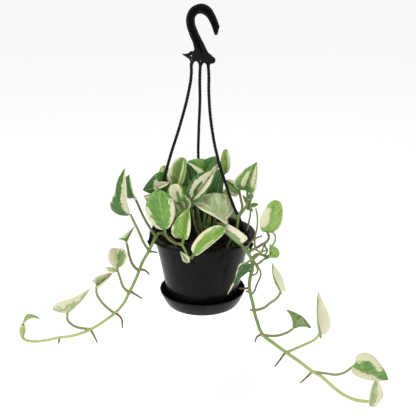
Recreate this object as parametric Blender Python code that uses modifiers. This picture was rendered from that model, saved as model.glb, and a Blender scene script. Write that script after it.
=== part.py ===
"""Small hanging pot with a drip saucer, a moulded hook hanger and a trailing variegated pothos."""
import math

import bmesh
import bpy
from mathutils import Matrix, Vector

MM = 0.001
GAP = 0.3

# The hook's inner top is the origin; the pot hangs below it, 3 mm to its right
POT_X = 3.0
RIM_Z = -297.0
SEGMENTS = 26

SOIL_TOP = RIM_Z - 13.0
HOLE_R = 2.95
HOLE_DEPTH = 14.3
OVERRUN = 10.0

# Ears that stick out of the rim and take the strands
EAR_R = 79.0
EAR_WIDTH = 8.0
EAR_THICK = 3.0
EAR_HOLE = 4.6
NECK_BACK = 2.6
NECK_SIZE = (5.2, 7.4, 2.6)
EAR_ANGLES = (86.0, 206.0, 326.0)

STRAND_R = 1.7
HOOK_DEPTH = 6.0
BLADE = 0.7
VINE_R = 2.45
STALK_R = 1.4
LOOSE_R = 1.1
ROOT_R = 0.9

# Rows of a leaf: place of the midrib, place of the margin and its share of the full half width
HEART = (
    (0.00, -0.06, 0.36),
    (0.14, 0.02, 0.84),
    (0.38, 0.30, 1.00),
    (0.64, 0.60, 0.86),
    (0.86, 0.84, 0.47),
)
SPEAR = (
    (0.00, -0.08, 0.30),
    (0.12, 0.00, 0.78),
    (0.32, 0.26, 1.00),
    (0.58, 0.54, 0.80),
    (0.82, 0.80, 0.36),
)
BROAD = (
    (0.00, -0.04, 0.58),
    (0.12, 0.06, 0.92),
    (0.34, 0.30, 1.00),
    (0.60, 0.58, 0.76),
    (0.84, 0.83, 0.38),
)
OVAL = (
    (0.00, 0.00, 0.40),
    (0.16, 0.14, 0.78),
    (0.40, 0.38, 1.00),
    (0.66, 0.65, 0.93),
    (0.88, 0.88, 0.56),
)
LONG = (
    (0.00, -0.03, 0.70),
    (0.14, 0.12, 1.00),
    (0.32, 0.30, 0.78),
    (0.52, 0.50, 0.46),
    (0.76, 0.74, 0.26),
)
LOBED = (
    (0.00, -0.10, 0.86),
    (0.16, 0.10, 1.00),
    (0.38, 0.35, 0.85),
    (0.60, 0.58, 0.54),
    (0.82, 0.81, 0.24),
)
ARROW = (
    (0.00, -0.24, 1.00),
    (0.14, 0.02, 0.56),
    (0.36, 0.31, 0.34),
    (0.66, 0.63, 0.20),
)
FAN = (
    (0.00, 0.00, 0.14),
    (0.25, 0.27, 0.30),
    (0.50, 0.54, 0.62),
    (0.66, 0.70, 1.00),
    (0.88, 0.90, 0.52),
)
SLIP = (
    (0.00, 0.00, 0.40),
    (0.36, 0.36, 1.00),
    (0.74, 0.74, 0.62),
)
INNER_SHARE = 0.5
CUP = 0.10

PARTS = bpy.data.collections.new("hanging_pothos")
CUTTERS = bpy.data.collections.new("cutters")


def clear_scene():
    for thing in list(bpy.data.objects):
        bpy.data.objects.remove(thing, do_unlink=True)
    for group in (PARTS, CUTTERS):
        bpy.context.scene.collection.children.link(group)


def material(name, colour, roughness):
    made = bpy.data.materials.new(name)
    made.use_nodes = True
    shader = made.node_tree.nodes["Principled BSDF"]
    shader.inputs["Base Color"].default_value = (*colour, 1.0)
    shader.inputs["Roughness"].default_value = roughness
    made.diffuse_color = (*colour, 1.0)
    return made


def put(name, mesh, group):
    made = bpy.data.objects.new(name, mesh)
    group.objects.link(made)
    return made


def from_bmesh(name, body, group):
    bmesh.ops.recalc_face_normals(body, faces=body.faces)
    mesh = bpy.data.meshes.new(name)
    body.to_mesh(mesh)
    body.free()
    return put(name, mesh, group)


def baked(thing):
    """Replace an object by a plain one that holds its evaluated mesh."""
    bpy.context.view_layer.update()
    graph = bpy.context.evaluated_depsgraph_get()
    mesh = bpy.data.meshes.new_from_object(thing.evaluated_get(graph))
    body = bmesh.new()
    body.from_mesh(mesh)
    bmesh.ops.remove_doubles(body, verts=body.verts, dist=0.0000005)
    body.to_mesh(mesh)
    body.free()
    group = thing.users_collection[0]
    name = thing.name
    place = thing.matrix_world.copy()
    bpy.data.objects.remove(thing, do_unlink=True)
    made = put(name, mesh, group)
    made.matrix_world = place
    made.name = name
    return made


def finish(thing, surface, smooth_angle):
    mesh = thing.data
    mesh.materials.clear()
    mesh.materials.append(surface)
    for face in mesh.polygons:
        face.material_index = 0
        face.use_smooth = True
    mesh.set_sharp_from_angle(angle=math.radians(smooth_angle))


def turned(name, profile, group, steps=SEGMENTS):
    """Turn a profile of (radius, height) points, run down its outer side, about the pot's axis."""
    mesh = bpy.data.meshes.new(name)
    points = [(radius * MM, 0.0, height * MM) for radius, height in profile]
    mesh.from_pydata(points, [(i, i + 1) for i in range(len(points) - 1)], [])
    made = put(name, mesh, group)
    made.location = (POT_X * MM, 0.0, 0.0)
    screw = made.modifiers.new("turn", "SCREW")
    screw.axis = "Z"
    screw.angle = math.radians(360.0)
    screw.steps = steps
    screw.render_steps = steps
    screw.use_merge_vertices = True
    screw.merge_threshold = 0.00001
    screw.use_normal_calculate = True
    return baked(made)


def combine(target, others, operation, solver="EXACT"):
    """Join or cut the target with a collection of solids, then drop those solids."""
    group = bpy.data.collections.new("work")
    bpy.context.scene.collection.children.link(group)
    for thing in others:
        for old in list(thing.users_collection):
            old.objects.unlink(thing)
        group.objects.link(thing)
    change = target.modifiers.new("combine", "BOOLEAN")
    change.operation = operation
    change.operand_type = "COLLECTION"
    change.collection = group
    change.solver = solver
    made = baked(target)
    for thing in others:
        bpy.data.objects.remove(thing, do_unlink=True)
    bpy.data.collections.remove(group)
    return made


def shells_of(body):
    """Groups of faces that meet along edges, smallest first."""
    seen = set()
    found = []
    for start in body.faces:
        if start in seen:
            continue
        seen.add(start)
        group = [start]
        for face in group:
            for edge in face.edges:
                if len(edge.link_faces) != 2:
                    continue
                for other in edge.link_faces:
                    if other not in seen:
                        seen.add(other)
                        group.append(other)
        found.append(group)
    return sorted(found, key=len)


def keep_largest(thing):
    """Fill the hollows that fusing seals and drop loose scraps: only the largest shell stays."""
    body = bmesh.new()
    body.from_mesh(thing.data)
    bmesh.ops.dissolve_degenerate(body, dist=0.000001, edges=body.edges)
    bmesh.ops.triangulate(body, faces=body.faces)
    for shell in shells_of(body)[:-1]:
        bmesh.ops.delete(body, geom=shell, context="FACES")
    body.to_mesh(thing.data)
    body.free()


def cord(name, points, radii, sides=6, steps=2):
    """A round stem, stalk or strand through points, with its ends filled."""
    curve = bpy.data.curves.new(name, "CURVE")
    curve.dimensions = "3D"
    curve.bevel_depth = MM
    curve.bevel_resolution = (sides - 4) // 2
    curve.use_fill_caps = True
    curve.resolution_u = steps
    curve.render_resolution_u = steps
    spline = curve.splines.new("BEZIER")
    spline.bezier_points.add(len(points) - 1)
    for place, point in enumerate(points):
        knot = spline.bezier_points[place]
        knot.co = Vector(point) * MM
        knot.handle_left_type = "AUTO"
        knot.handle_right_type = "AUTO"
        share = place / (len(points) - 1)
        knot.radius = radii[0] + (radii[1] - radii[0]) * share
    return baked(put(name, curve, CUTTERS))


def leaf(name, base, tip, left, right, arch, rows=HEART):
    """A heart-shaped blade; left and right are points of its margins seen on the upper face."""
    base, tip, left, right = (Vector(point) for point in (base, tip, left, right))
    along = tip - base
    length = along.length
    along.normalize()
    halves = []
    for margin in (left, right):
        out = margin - base
        halves.append(out - along * out.dot(along))
    up = (halves[1] - halves[0]).cross(along).normalized()
    columns = len(rows)
    grid = []
    for middle, edge, width in rows:
        rise = 4.0 * arch * middle * (1.0 - middle)
        spine = base + along * length * middle + up * rise
        row = []
        for half, share in ((0, 1.0), (0, INNER_SHARE), (None, 0.0), (1, INNER_SHARE), (1, 1.0)):
            if half is None:
                row.append(spine)
                continue
            reach = halves[half] * width * share
            shift = along * length * (edge - middle) * share
            sag = up * (CUP * halves[half].length * width * (share - share * share) * 4.0)
            row.append(spine + reach + shift + sag)
        grid.append(row)
    body = bmesh.new()
    sheets = []
    for side in (0.5, -0.5):
        sheet = []
        for index in range(columns):
            row = []
            for place in range(5):
                before = grid[max(index - 1, 0)][place]
                after = grid[min(index + 1, columns - 1)][place]
                inner = grid[index][max(place - 1, 0)]
                outer = grid[index][min(place + 1, 4)]
                lift = (outer - inner).cross(after - before).normalized()
                row.append(body.verts.new((grid[index][place] + lift * side * BLADE) * MM))
            sheet.append(row)
        point = body.verts.new((tip + up * side * BLADE) * MM)
        sheets.append((sheet, point))
    loops = []
    for sheet, point in sheets:
        for index in range(columns - 1):
            for place in range(4):
                a, b = sheet[index][place], sheet[index][place + 1]
                c, d = sheet[index + 1][place + 1], sheet[index + 1][place]
                if place < 2:
                    body.faces.new((a, b, d))
                    body.faces.new((b, c, d))
                else:
                    body.faces.new((a, b, c))
                    body.faces.new((a, c, d))
        for place in range(4):
            body.faces.new((sheet[-1][place], sheet[-1][place + 1], point))
        rim = [row[0] for row in sheet] + [point] + [row[4] for row in reversed(sheet)]
        loops.append(rim + [sheet[0][3], sheet[0][2], sheet[0][1]])
    count = len(loops[0])
    for place in range(count):
        a, b = loops[0][place], loops[0][(place + 1) % count]
        c, d = loops[1][(place + 1) % count], loops[1][place]
        body.faces.new((a, b, c))
        body.faces.new((a, c, d))
    return from_bmesh(name, body, CUTTERS)


def into_blade(base, tip):
    """The point just inside a blade at which its stalk ends."""
    return Vector(base).lerp(Vector(tip), 0.05)


def stalked_leaf(name, stalk, base, tip, left, right, arch, rows=HEART):
    pieces = [leaf(name, base, tip, left, right, arch, rows)]
    if stalk:
        path = [*stalk, base, into_blade(base, tip)]
        pieces.append(cord(name + "_stalk", path, (STALK_R * 1.15, STALK_R * 0.8), 4, 1))
    return pieces


def plant(name, stem, radii, leaves, loops=(), roots=(), sides=6):
    """Fuse one leafy stem from its stem, leaves, dry stalks and air roots."""
    pieces = []
    for label, *shape in leaves:
        pieces += stalked_leaf(name + "_" + label, *shape)
    for index, path in enumerate(loops):
        pieces.append(cord("%s_loop_%d" % (name, index), path, (LOOSE_R, LOOSE_R * 0.85), 4, 1))
    for index, path in enumerate(roots):
        pieces.append(cord("%s_root_%d" % (name, index), path, (ROOT_R * 1.2, ROOT_R * 0.8), 4, 1))
    body = cord(name, stem, radii, sides, 1)
    body.name = name
    body = combine(body, pieces, "UNION", "MANIFOLD")
    keep_largest(body)
    for old in list(body.users_collection):
        old.objects.unlink(body)
    PARTS.objects.link(body)
    body.name = name
    return body


def rooted(x, y):
    """The buried foot of a stem, straight up out of its hole in the soil."""
    return [(x, y, SOIL_TOP - 14.0), (x, y, SOIL_TOP - 4.0), (x, y, SOIL_TOP + 4.0)]


STEM_FEET = {
    "left_vine": (-35.0, -23.0),
    "right_vine": (38.0, -38.0),
    "front_vine": (-23.0, -46.0),
    "crown_left": (-27.0, -4.0),
    "crown_centre": (6.0, -17.0),
    "crown_right": (47.0, -25.0),
    "crown_top": (-2.0, 17.0),
    "back_left": (-26.0, 32.0),
    "back_right": (32.0, 28.0),
}


def make_pot(surface):
    profile = [
        (0.0, -399.8), (44.6, -399.8), (46.4, -397.6), (48.9, -388.2), (52.5, -369.3), (56.7, -341.3),
        (60.3, -324.4), (64.4, -306.6), (65.6, -299.6), (66.6, -297.0), (74.3, -297.0), (75.0, -297.7),
        (75.0, -300.5), (73.6, -300.5), (73.4, -298.8), (67.6, -298.8), (66.0, -307.0), (62.0, -324.0),
        (58.4, -341.0), (54.2, -369.0), (50.6, -388.0), (47.8, -399.0), (45.6, -401.3), (0.0, -401.3),
    ]
    pot = turned("pot", profile, PARTS)
    tabs = []
    holes = []
    for angle in EAR_ANGLES:
        turn = Matrix.Rotation(math.radians(angle), 4, "Z")
        centre = Vector((POT_X, 0.0, 0.0)) + turn @ Vector((EAR_R, 0.0, 0.0))
        height = (RIM_Z - EAR_THICK / 2) * MM
        body = bmesh.new()
        bmesh.ops.create_cone(body, cap_ends=True, segments=12, radius1=EAR_WIDTH / 2 * MM,
                              radius2=EAR_WIDTH / 2 * MM, depth=EAR_THICK * MM,
                              matrix=Matrix.Translation((centre.x * MM, centre.y * MM, height)))
        tabs.append(from_bmesh("ear_end", body, CUTTERS))
        neck = Vector((POT_X, 0.0, 0.0)) + turn @ Vector((EAR_R - NECK_BACK, 0.0, 0.0))
        place = Matrix.Translation((neck.x * MM, neck.y * MM, height)) @ turn
        size = Matrix.Diagonal((*(length * MM for length in NECK_SIZE), 1.0))
        body = bmesh.new()
        bmesh.ops.create_cube(body, size=1.0, matrix=place @ size)
        tabs.append(from_bmesh("ear_neck", body, CUTTERS))
        body = bmesh.new()
        bmesh.ops.create_cone(body, cap_ends=True, segments=10, radius1=EAR_HOLE / 2 * MM,
                              radius2=EAR_HOLE / 2 * MM, depth=4.0 * EAR_THICK * MM,
                              matrix=Matrix.Translation((centre.x * MM, centre.y * MM, height)))
        holes.append(from_bmesh("ear_hole", body, CUTTERS))
    pot = combine(pot, tabs, "UNION")
    pot = combine(pot, holes, "DIFFERENCE")
    finish(pot, surface, 32.0)


def make_saucer(surface):
    profile = [
        (0.0, -401.6), (50.2, -401.6), (52.2, -400.6), (57.2, -390.0), (59.6, -383.6), (60.2, -382.0),
        (61.2, -382.0), (61.8, -382.8), (61.3, -384.4), (58.8, -390.4), (55.6, -397.4), (52.6, -402.0),
        (50.5, -403.0), (0.0, -403.0),
    ]
    finish(turned("saucer", profile, PARTS), surface, 32.0)


def make_soil(surface):
    profile = [
        (0.0, -308.8), (34.0, -309.4), (63.0, -310.8), (59.9, -324.4), (56.3, -341.3), (52.1, -369.3),
        (48.5, -388.2), (46.0, -397.4), (44.3, -399.5), (0.0, -399.5),
    ]
    soil = turned("soil", profile, PARTS)
    holes = []
    for x, y in STEM_FEET.values():
        body = bmesh.new()
        middle = SOIL_TOP + (OVERRUN - HOLE_DEPTH) / 2
        bmesh.ops.create_cone(body, cap_ends=True, segments=10, radius1=HOLE_R * MM, radius2=HOLE_R * MM,
                              depth=(HOLE_DEPTH + OVERRUN) * MM,
                              matrix=Matrix.Translation((x * MM, y * MM, middle * MM)))
        holes.append(from_bmesh("stem_hole", body, CUTTERS))
    soil = combine(soil, holes, "DIFFERENCE")
    finish(soil, surface, 40.0)


def plate(name, outline, depth, edge, steps):
    """A flat moulded plate in the X-Z plane with a smooth outline and eased edges."""
    curve = bpy.data.curves.new(name, "CURVE")
    curve.dimensions = "2D"
    curve.fill_mode = "BOTH"
    curve.extrude = (depth / 2 - edge) * MM
    curve.bevel_depth = edge * MM
    curve.bevel_resolution = 0
    curve.offset = -edge * MM
    curve.resolution_u = steps
    curve.render_resolution_u = steps
    spline = curve.splines.new("BEZIER")
    spline.use_cyclic_u = True
    spline.bezier_points.add(len(outline) - 1)
    for knot, (x, z, corner) in zip(spline.bezier_points, outline):
        knot.co = (x * MM, z * MM, 0.0)
        knot.handle_left_type = "VECTOR" if corner else "AUTO"
        knot.handle_right_type = "VECTOR" if corner else "AUTO"
    made = baked(put(name, curve, CUTTERS))
    body = bmesh.new()
    body.from_mesh(made.data)
    bmesh.ops.transform(body, matrix=Matrix.Rotation(math.radians(90.0), 4, "X"), verts=body.verts)
    bmesh.ops.triangulate(body, faces=body.faces)
    body.to_mesh(made.data)
    body.free()
    return made


def drum(name, radius, top_radius, depth, centre, axis):
    """A short round solid along Y or Z, narrowing to its top radius."""
    body = bmesh.new()
    place = Matrix.Translation(Vector(centre) * MM)
    if axis == "Y":
        place = place @ Matrix.Rotation(math.radians(90.0), 4, "X")
    bmesh.ops.create_cone(body, cap_ends=True, segments=12, radius1=radius * MM,
                          radius2=top_radius * MM, depth=depth * MM, matrix=place)
    return from_bmesh(name, body, CUTTERS)


def make_hanger(surface):
    outline = [
        (-8.0, -46.5, False), (-8.0, -39.0, False), (-13.0, -26.0, False), (-17.0, -12.0, False),
        (-16.5, -3.0, False), (-12.0, 6.0, False), (-4.0, 11.2, False), (4.5, 12.2, False),
        (13.0, 8.4, False), (19.0, 0.5, False), (25.6, -15.5, True), (23.0, -25.0, True),
        (20.5, -26.5, True), (14.0, -11.0, False), (7.5, -2.6, False), (0.0, 0.0, False),
        (-4.6, -3.0, False), (-5.8, -10.0, False), (-2.0, -22.0, False), (6.0, -38.0, False),
        (11.5, -48.5, False), (17.0, -54.0, False), (16.0, -60.0, False), (12.8, -66.0, True),
        (9.6, -66.0, True), (6.2, -61.8, False), (2.8, -66.0, True), (-0.4, -66.0, True),
        (-4.8, -59.6, False), (-9.4, -66.0, True), (-12.6, -66.0, True), (-13.0, -58.0, False),
        (-17.5, -54.2, False), (-23.0, -50.4, True), (-15.0, -49.4, False), (-11.5, -46.8, False),
    ]
    body = plate("hanger", outline, HOOK_DEPTH, 1.0, 2)
    groove = [(-2.0, -38.0), (-7.5, -24.5), (-11.2, -12.0), (-10.0, -2.0), (-4.5, 4.4),
              (3.0, 6.2), (10.5, 2.6), (16.0, -5.5), (19.5, -14.5)]
    cutters = []
    for side in (-1.0, 1.0):
        path = [(x, side * (HOOK_DEPTH / 2 + 2.0), z) for x, z in groove]
        cutters.append(cord("groove", path, (3.2, 3.2), 8, 1))
    for x, z, radius in ((-10.6, -52.6, 1.1), (-10.2, -57.4, 0.8), (0.9, -59.4, 0.9)):
        cutters.append(drum("pin_hole", radius, radius, 12.0, (x, 0.0, z), "Y"))
    body = combine(body, cutters, "DIFFERENCE")
    strands = {
        86.0: [(1, 0, -62), (0, 7, -82), (0, 17, -113), (-2, 32, -158), (-3, 47, -201), (0, 62, -247),
               (5, 72, -278)],
        206.0: [(-11, 0, -62), (-11, -2, -77), (-14, -5, -96), (-26, -12, -141), (-40, -18, -184),
                (-49, -23, -217), (-56, -27, -248), (-64, -32, -282)],
        326.0: [(11, 0, -62), (12, -3, -78), (12, -7, -100), (16, -16, -145), (25, -24, -188),
                (33, -28, -213), (46, -35, -249), (61, -40, -280)],
    }
    joined = []
    for angle, path in strands.items():
        turn = math.radians(angle)
        x = POT_X + EAR_R * math.cos(turn)
        y = EAR_R * math.sin(turn)
        ends = [(x, y, RIM_Z + 3.0), (x, y, RIM_Z - EAR_THICK - 3.0)]
        joined.append(cord("strand", [*path, *ends], (STRAND_R, STRAND_R), 6, 2))
        low = RIM_Z - EAR_THICK - GAP
        joined.append(drum("barb", 1.3, 3.2, 6.5, (x, y, low - 3.25), "Z"))
    joined.append(drum("knob", 4.3, 4.3, 7.4, (16.4, 0.0, -58.2), "Y"))
    body = combine(body, joined, "UNION")
    keep_largest(body)
    for old in list(body.users_collection):
        old.objects.unlink(body)
    PARTS.objects.link(body)
    body.name = "hanger"
    finish(body, surface, 35.0)


def make_plants(leafy):
    made = []
    made.append(plant(
        "left_vine",
        [*rooted(*STEM_FEET["left_vine"]), (-45, -31, -293), (-55, -38, -285), (-59, -43, -288),
         (-64, -49, -296), (-69, -50, -306), (-78, -50, -322), (-83, -50, -335), (-91, -50, -354),
         (-98, -50, -368), (-106, -50, -384), (-119, -51, -399), (-132, -52, -409), (-153, -53, -423),
         (-178, -55, -432), (-198, -57, -434), (-222, -59, -438), (-237, -60, -438), (-246, -62, -433),
         (-248, -62, -426)],
        (VINE_R, VINE_R * 0.9),
        [("behind", [(-59, -43, -288), (-67, -44, -275), (-73, -44, -264)],
          (-86, -44, -232), (-92, -46, -200), (-103, -34, -225), (-85, -58, -213), 2),
         ("tall", [(-69, -50, -305), (-75, -52, -294), (-80, -55, -279), (-84, -57, -268)],
          (-91, -58, -251), (-95, -62, -187), (-114, -58, -239), (-90, -74, -212), 5, LONG),
         ("arrow", [(-84, -50, -335), (-91, -51, -326), (-95, -52, -313), (-97, -51, -302)],
          (-99, -48, -294), (-89, -30, -278), (-110, -54, -284), (-94, -56, -288), 2, ARROW),
         ("flap", [],
          (-113, -52, -334), (-129, -50, -330), (-122, -50, -328), (-121, -54, -337), 0, SLIP),
         ("round", [(-98, -50, -368), (-105, -52, -359), (-109, -53, -345)],
          (-113, -52, -334), (-114, -32, -309), (-124, -58, -314), (-99, -50, -316), 3, OVAL),
         ("folded", [(-120, -51, -399), (-132, -53, -386), (-139, -54, -375), (-142, -54, -367)],
          (-142, -52, -357), (-119, -34, -343), (-145, -58, -339), (-134, -60, -353), 2, LOBED),
         ("wide", [(-154, -53, -423), (-172, -56, -418), (-180, -57, -412), (-184, -57, -406)],
          (-184, -56, -398), (-151, -48, -362), (-191, -64, -371), (-188, -40, -393), 3, LOBED),
         ("rolled", [], (-248, -62, -432), (-244, -62, -407), (-253, -59, -422), (-243, -59, -422), -1, SLIP),
         ("hooked", [(-247, -62, -430), (-246, -64, -418)],
          (-244, -65, -410), (-219, -62, -404), (-231, -67, -391), (-234, -58, -407), 5, SLIP)],
        roots=[[(-70, -50, -307), (-64, -50, -307), (-57, -51, -308)],
               [(-83, -50, -333), (-75, -51, -334), (-69, -51, -340)],
               [(-97, -50, -365), (-88, -51, -371), (-80, -52, -376)],
               [(-118, -51, -398), (-110, -52, -407), (-109, -53, -421)],
               [(-154, -53, -423), (-149, -54, -433), (-145, -55, -443)],
               [(-197, -57, -434), (-199, -57, -443)]]))
    made.append(plant(
        "right_vine",
        [*rooted(*STEM_FEET["right_vine"]), (41, -41, -296), (46, -47, -289), (54, -56, -294),
         (61, -62, -300), (67, -64, -308), (70, -64, -318), (70, -63, -328), (68, -62, -339),
         (67, -62, -354), (69, -62, -366), (72, -63, -378), (74, -63, -389), (78, -64, -403),
         (86, -66, -423), (103, -69, -437), (119, -73, -448), (139, -78, -461), (155, -83, -472),
         (167, -86, -478), (186, -91, -494), (205, -96, -505), (221, -100, -508), (234, -103, -507)],
        (VINE_R, VINE_R * 1.35),
        [("over_rim", [(59, -61, -298)],
          (55, -62, -291), (21, -38, -268), (54, -48, -274), (40, -68, -277), 3, BROAD),
         ("before_pot", [(70, -63, -328), (70, -66, -322)],
          (66, -70, -318), (37, -75, -359), (54, -64, -326), (56, -82, -328), 4, LONG),
         ("right_high", [(63, -62, -303), (74, -60, -298), (83, -58, -293), (90, -56, -289), (92, -54, -283)],
          (90, -52, -278), (101, -56, -232), (80, -56, -256), (111, -58, -248), 3, OVAL),
         ("young", [(69, -63, -312), (76, -62, -306), (86, -61, -308)],
          (92, -60, -311), (93, -60, -292), (91, -70, -296), (106, -58, -307), 1),
         ("upright", [(74, -63, -389), (87, -66, -383), (95, -68, -375), (104, -69, -367)],
          (109, -69, -358), (97, -66, -316), (121, -62, -344), (104, -80, -331), 5, LOBED),
         ("dark", [(87, -66, -425), (103, -68, -425), (115, -70, -421), (123, -71, -416)],
          (129, -71, -410), (140, -66, -396), (118, -62, -389), (151, -78, -408), 2, FAN),
         ("cream", [(120, -73, -448), (130, -76, -441), (145, -78, -432), (156, -79, -425)],
          (162, -80, -416), (158, -76, -353), (178, -76, -399), (161, -92, -385), 3, BROAD),
         ("low", [(157, -83, -473), (173, -88, -472), (187, -91, -472), (198, -93, -467)],
          (208, -95, -456), (257, -98, -476), (223, -90, -437), (212, -104, -462), 2, LOBED),
         ("tip", [], (234, -103, -512), (238, -103, -472), (232, -106, -493), (247, -106, -488), -2, SLIP)],
        loops=[[(70, -64, -315), (77, -65, -325), (76, -65, -332), (69, -62, -337)],
               [(69, -62, -366), (74, -60, -361), (77, -59, -352), (81, -59, -342), (82, -60, -334),
                (79, -61, -326), (71, -64, -313)],
               [(74, -60, -300), (73, -58, -291), (74, -50, -286), (77, -44, -272), (77, -40, -259),
                (75, -36, -250)],
               [(87, -57, -292), (87, -58, -296), (90, -60, -301), (87, -61, -307)],
               [(92, -60, -311), (83, -62, -315), (76, -64, -321)],
               [(95, -60, -296), (100, -58, -288), (100, -57, -281), (97, -57, -277)],
               [(64, -62, -307), (72, -66, -297), (80, -68, -300), (88, -66, -298)],
               [(68, -63, -316), (76, -66, -307), (83, -64, -299), (85, -60, -290)],
               [(70, -64, -319), (79, -66, -317), (87, -64, -310), (94, -62, -305)],
               [(63, -62, -300), (67, -58, -291), (75, -56, -285), (83, -55, -282)],
               [(68, -64, -313), (63, -67, -316), (62, -68, -323)]],
        roots=[[(67, -62, -355), (60, -62, -356), (53, -63, -355)],
               [(69, -62, -331), (62, -60, -329)],
               [(69, -62, -361), (62, -62, -360)],
               [(74, -63, -388), (68, -63, -388)],
               [(86, -66, -423), (79, -67, -427), (76, -67, -435)],
               [(118, -73, -448), (111, -74, -459), (104, -74, -470)],
               [(155, -83, -472), (148, -84, -480), (139, -84, -490)]]))
    made.append(plant(
        "front_vine",
        [*rooted(*STEM_FEET["front_vine"]), (-24, -54, -296), (-24, -64, -291), (-20, -74, -293),
         (-17, -81, -297), (-15, -83, -302), (-15, -84, -307)],
        (VINE_R, VINE_R * 0.6),
        [("heart", [(-24, -64, -291), (-34, -64, -288), (-40, -63, -284), (-44, -62, -279)],
          (-46, -62, -271), (-55, -50, -220), (-70, -62, -245), (-32, -58, -246), 3, OVAL),
         ("cupped", [(-23, -65, -291)],
          (-21, -64, -282), (-14, -60, -241), (-35, -72, -256), (-10, -72, -256), -2, BROAD),
         ("spoon", [(-15, -83, -302), (-11, -85, -301)],
          (-7, -86, -296), (33, -66, -268), (0, -76, -273), (8, -92, -288), 1, OVAL),
         ("sheath", [], (-15, -84, -308), (-25, -85, -292), (-23, -88, -301), (-15, -90, -297), 0, SLIP)]))
    made.append(plant(
        "crown_left",
        [*rooted(*STEM_FEET["crown_left"]), (-28, -8, -280), (-33, -10, -255)],
        (VINE_R, VINE_R * 0.7),
        [("dark", [(-33, -10, -256), (-39, -8, -233)],
          (-44, -12, -223), (-77, -28, -227), (-61, -22, -238), (-58, -12, -207), 3, BROAD),
         ("spear", [(-33, -10, -256), (-36, -12, -240)],
          (-32, -14, -226), (-22, -8, -187), (-42, -20, -201), (-17, -20, -201), 2, BROAD),
         ("cream", [(-33, -10, -256), (-30, -12, -236)],
          (-29, -34, -243), (-35, -26, -219), (-44, -32, -227), (-21, -32, -227), 3, OVAL),
         ("pale", [(-33, -10, -256), (-43, -34, -239)],
          (-57, -30, -222), (-41, -26, -217), (-50, -30, -213), (-49, -32, -223), 1, SPEAR),
         ("round", [(-33, -10, -256), (-40, 0, -236)],
          (-51, -8, -230), (-48, -4, -199), (-58, -8, -213), (-40, -6, -213), 2, OVAL),
         ("wing", [(-28, -8, -280), (-40, -36, -262)],
          (-43, -40, -247), (-75, -36, -232), (-57, -36, -224), (-67, -42, -249), 3, BROAD),
         ("inner", [(-28, -8, -280), (-32, -26, -264)],
          (-26, -30, -259), (-49, -12, -226), (-49, -20, -248), (-18, -18, -237), 2, BROAD)],
        loops=[[(-27, -4, -300), (-22, -16, -288), (-20, -22, -272), (-22, -26, -258)]]))
    made.append(plant(
        "crown_centre",
        [*rooted(*STEM_FEET["crown_centre"]), (6, -16, -283), (7, -16, -256)],
        (VINE_R, VINE_R * 0.7),
        [("middle", [(7, -16, -257), (-1, -26, -250)],
          (-11, -40, -236), (26, -18, -193), (-8, -42, -209), (10, -38, -221), 3, BROAD),
         ("pale_big", [(6, -16, -284), (16, -26, -282), (27, -33, -275)],
          (36, -36, -267), (-10, -34, -242), (12, -54, -246), (31, -26, -237), 6),
         ("bud", [(6, -16, -284), (10, -14, -286)],
          (13, -12, -283), (14, -16, -266), (9, -17, -274), (15, -18, -276), 0, SLIP)],
        loops=[[(6, -17, -304), (2, -20, -285), (-2, -22, -262), (-4, -24, -244)],
               [(6, -17, -304), (10, -20, -284), (13, -22, -262), (12, -24, -246)],
               [(6, -17, -302), (15, -22, -288), (21, -24, -272), (24, -24, -256)],
               [(6, -17, -302), (-3, -22, -290), (-8, -24, -274), (-9, -24, -256)]]))
    made.append(plant(
        "crown_right",
        [*rooted(*STEM_FEET["crown_right"]), (49, -34, -292), (51, -43, -266), (52, -42, -258)],
        (VINE_R, VINE_R * 0.7),
        [("speckled", [(52, -42, -259), (57, -30, -252), (56, -14, -244)],
          (54, -4, -236), (35, 10, -224), (43, 0, -242), (47, 0, -220), 2),
         ("spiked", [(52, -42, -259), (60, -30, -253), (65, -20, -247), (65, -14, -242)],
          (65, -10, -233), (77, -12, -192), (49, -14, -213), (79, -22, -216), 3, BROAD),
         ("curl_up", [(67, -21, -256)],
          (69, -18, -244), (70, -18, -231), (66, -17, -237), (73, -16, -238), 0, SLIP),
         ("curl_left", [(70, -21, -258)],
          (67, -20, -250), (58, -20, -236), (61, -22, -246), (65, -22, -241), 0, SLIP),
         ("curl_right", [(65, -20, -255)],
          (69, -20, -252), (80, -20, -249), (74, -20, -247), (74, -23, -253), 0, SLIP)],
        loops=[[(48, -28, -298), (64, -32, -282), (67, -26, -272), (69, -22, -260), (68, -20, -250)],
               [(63, -19, -245), (71, -21, -257)]]))
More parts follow.
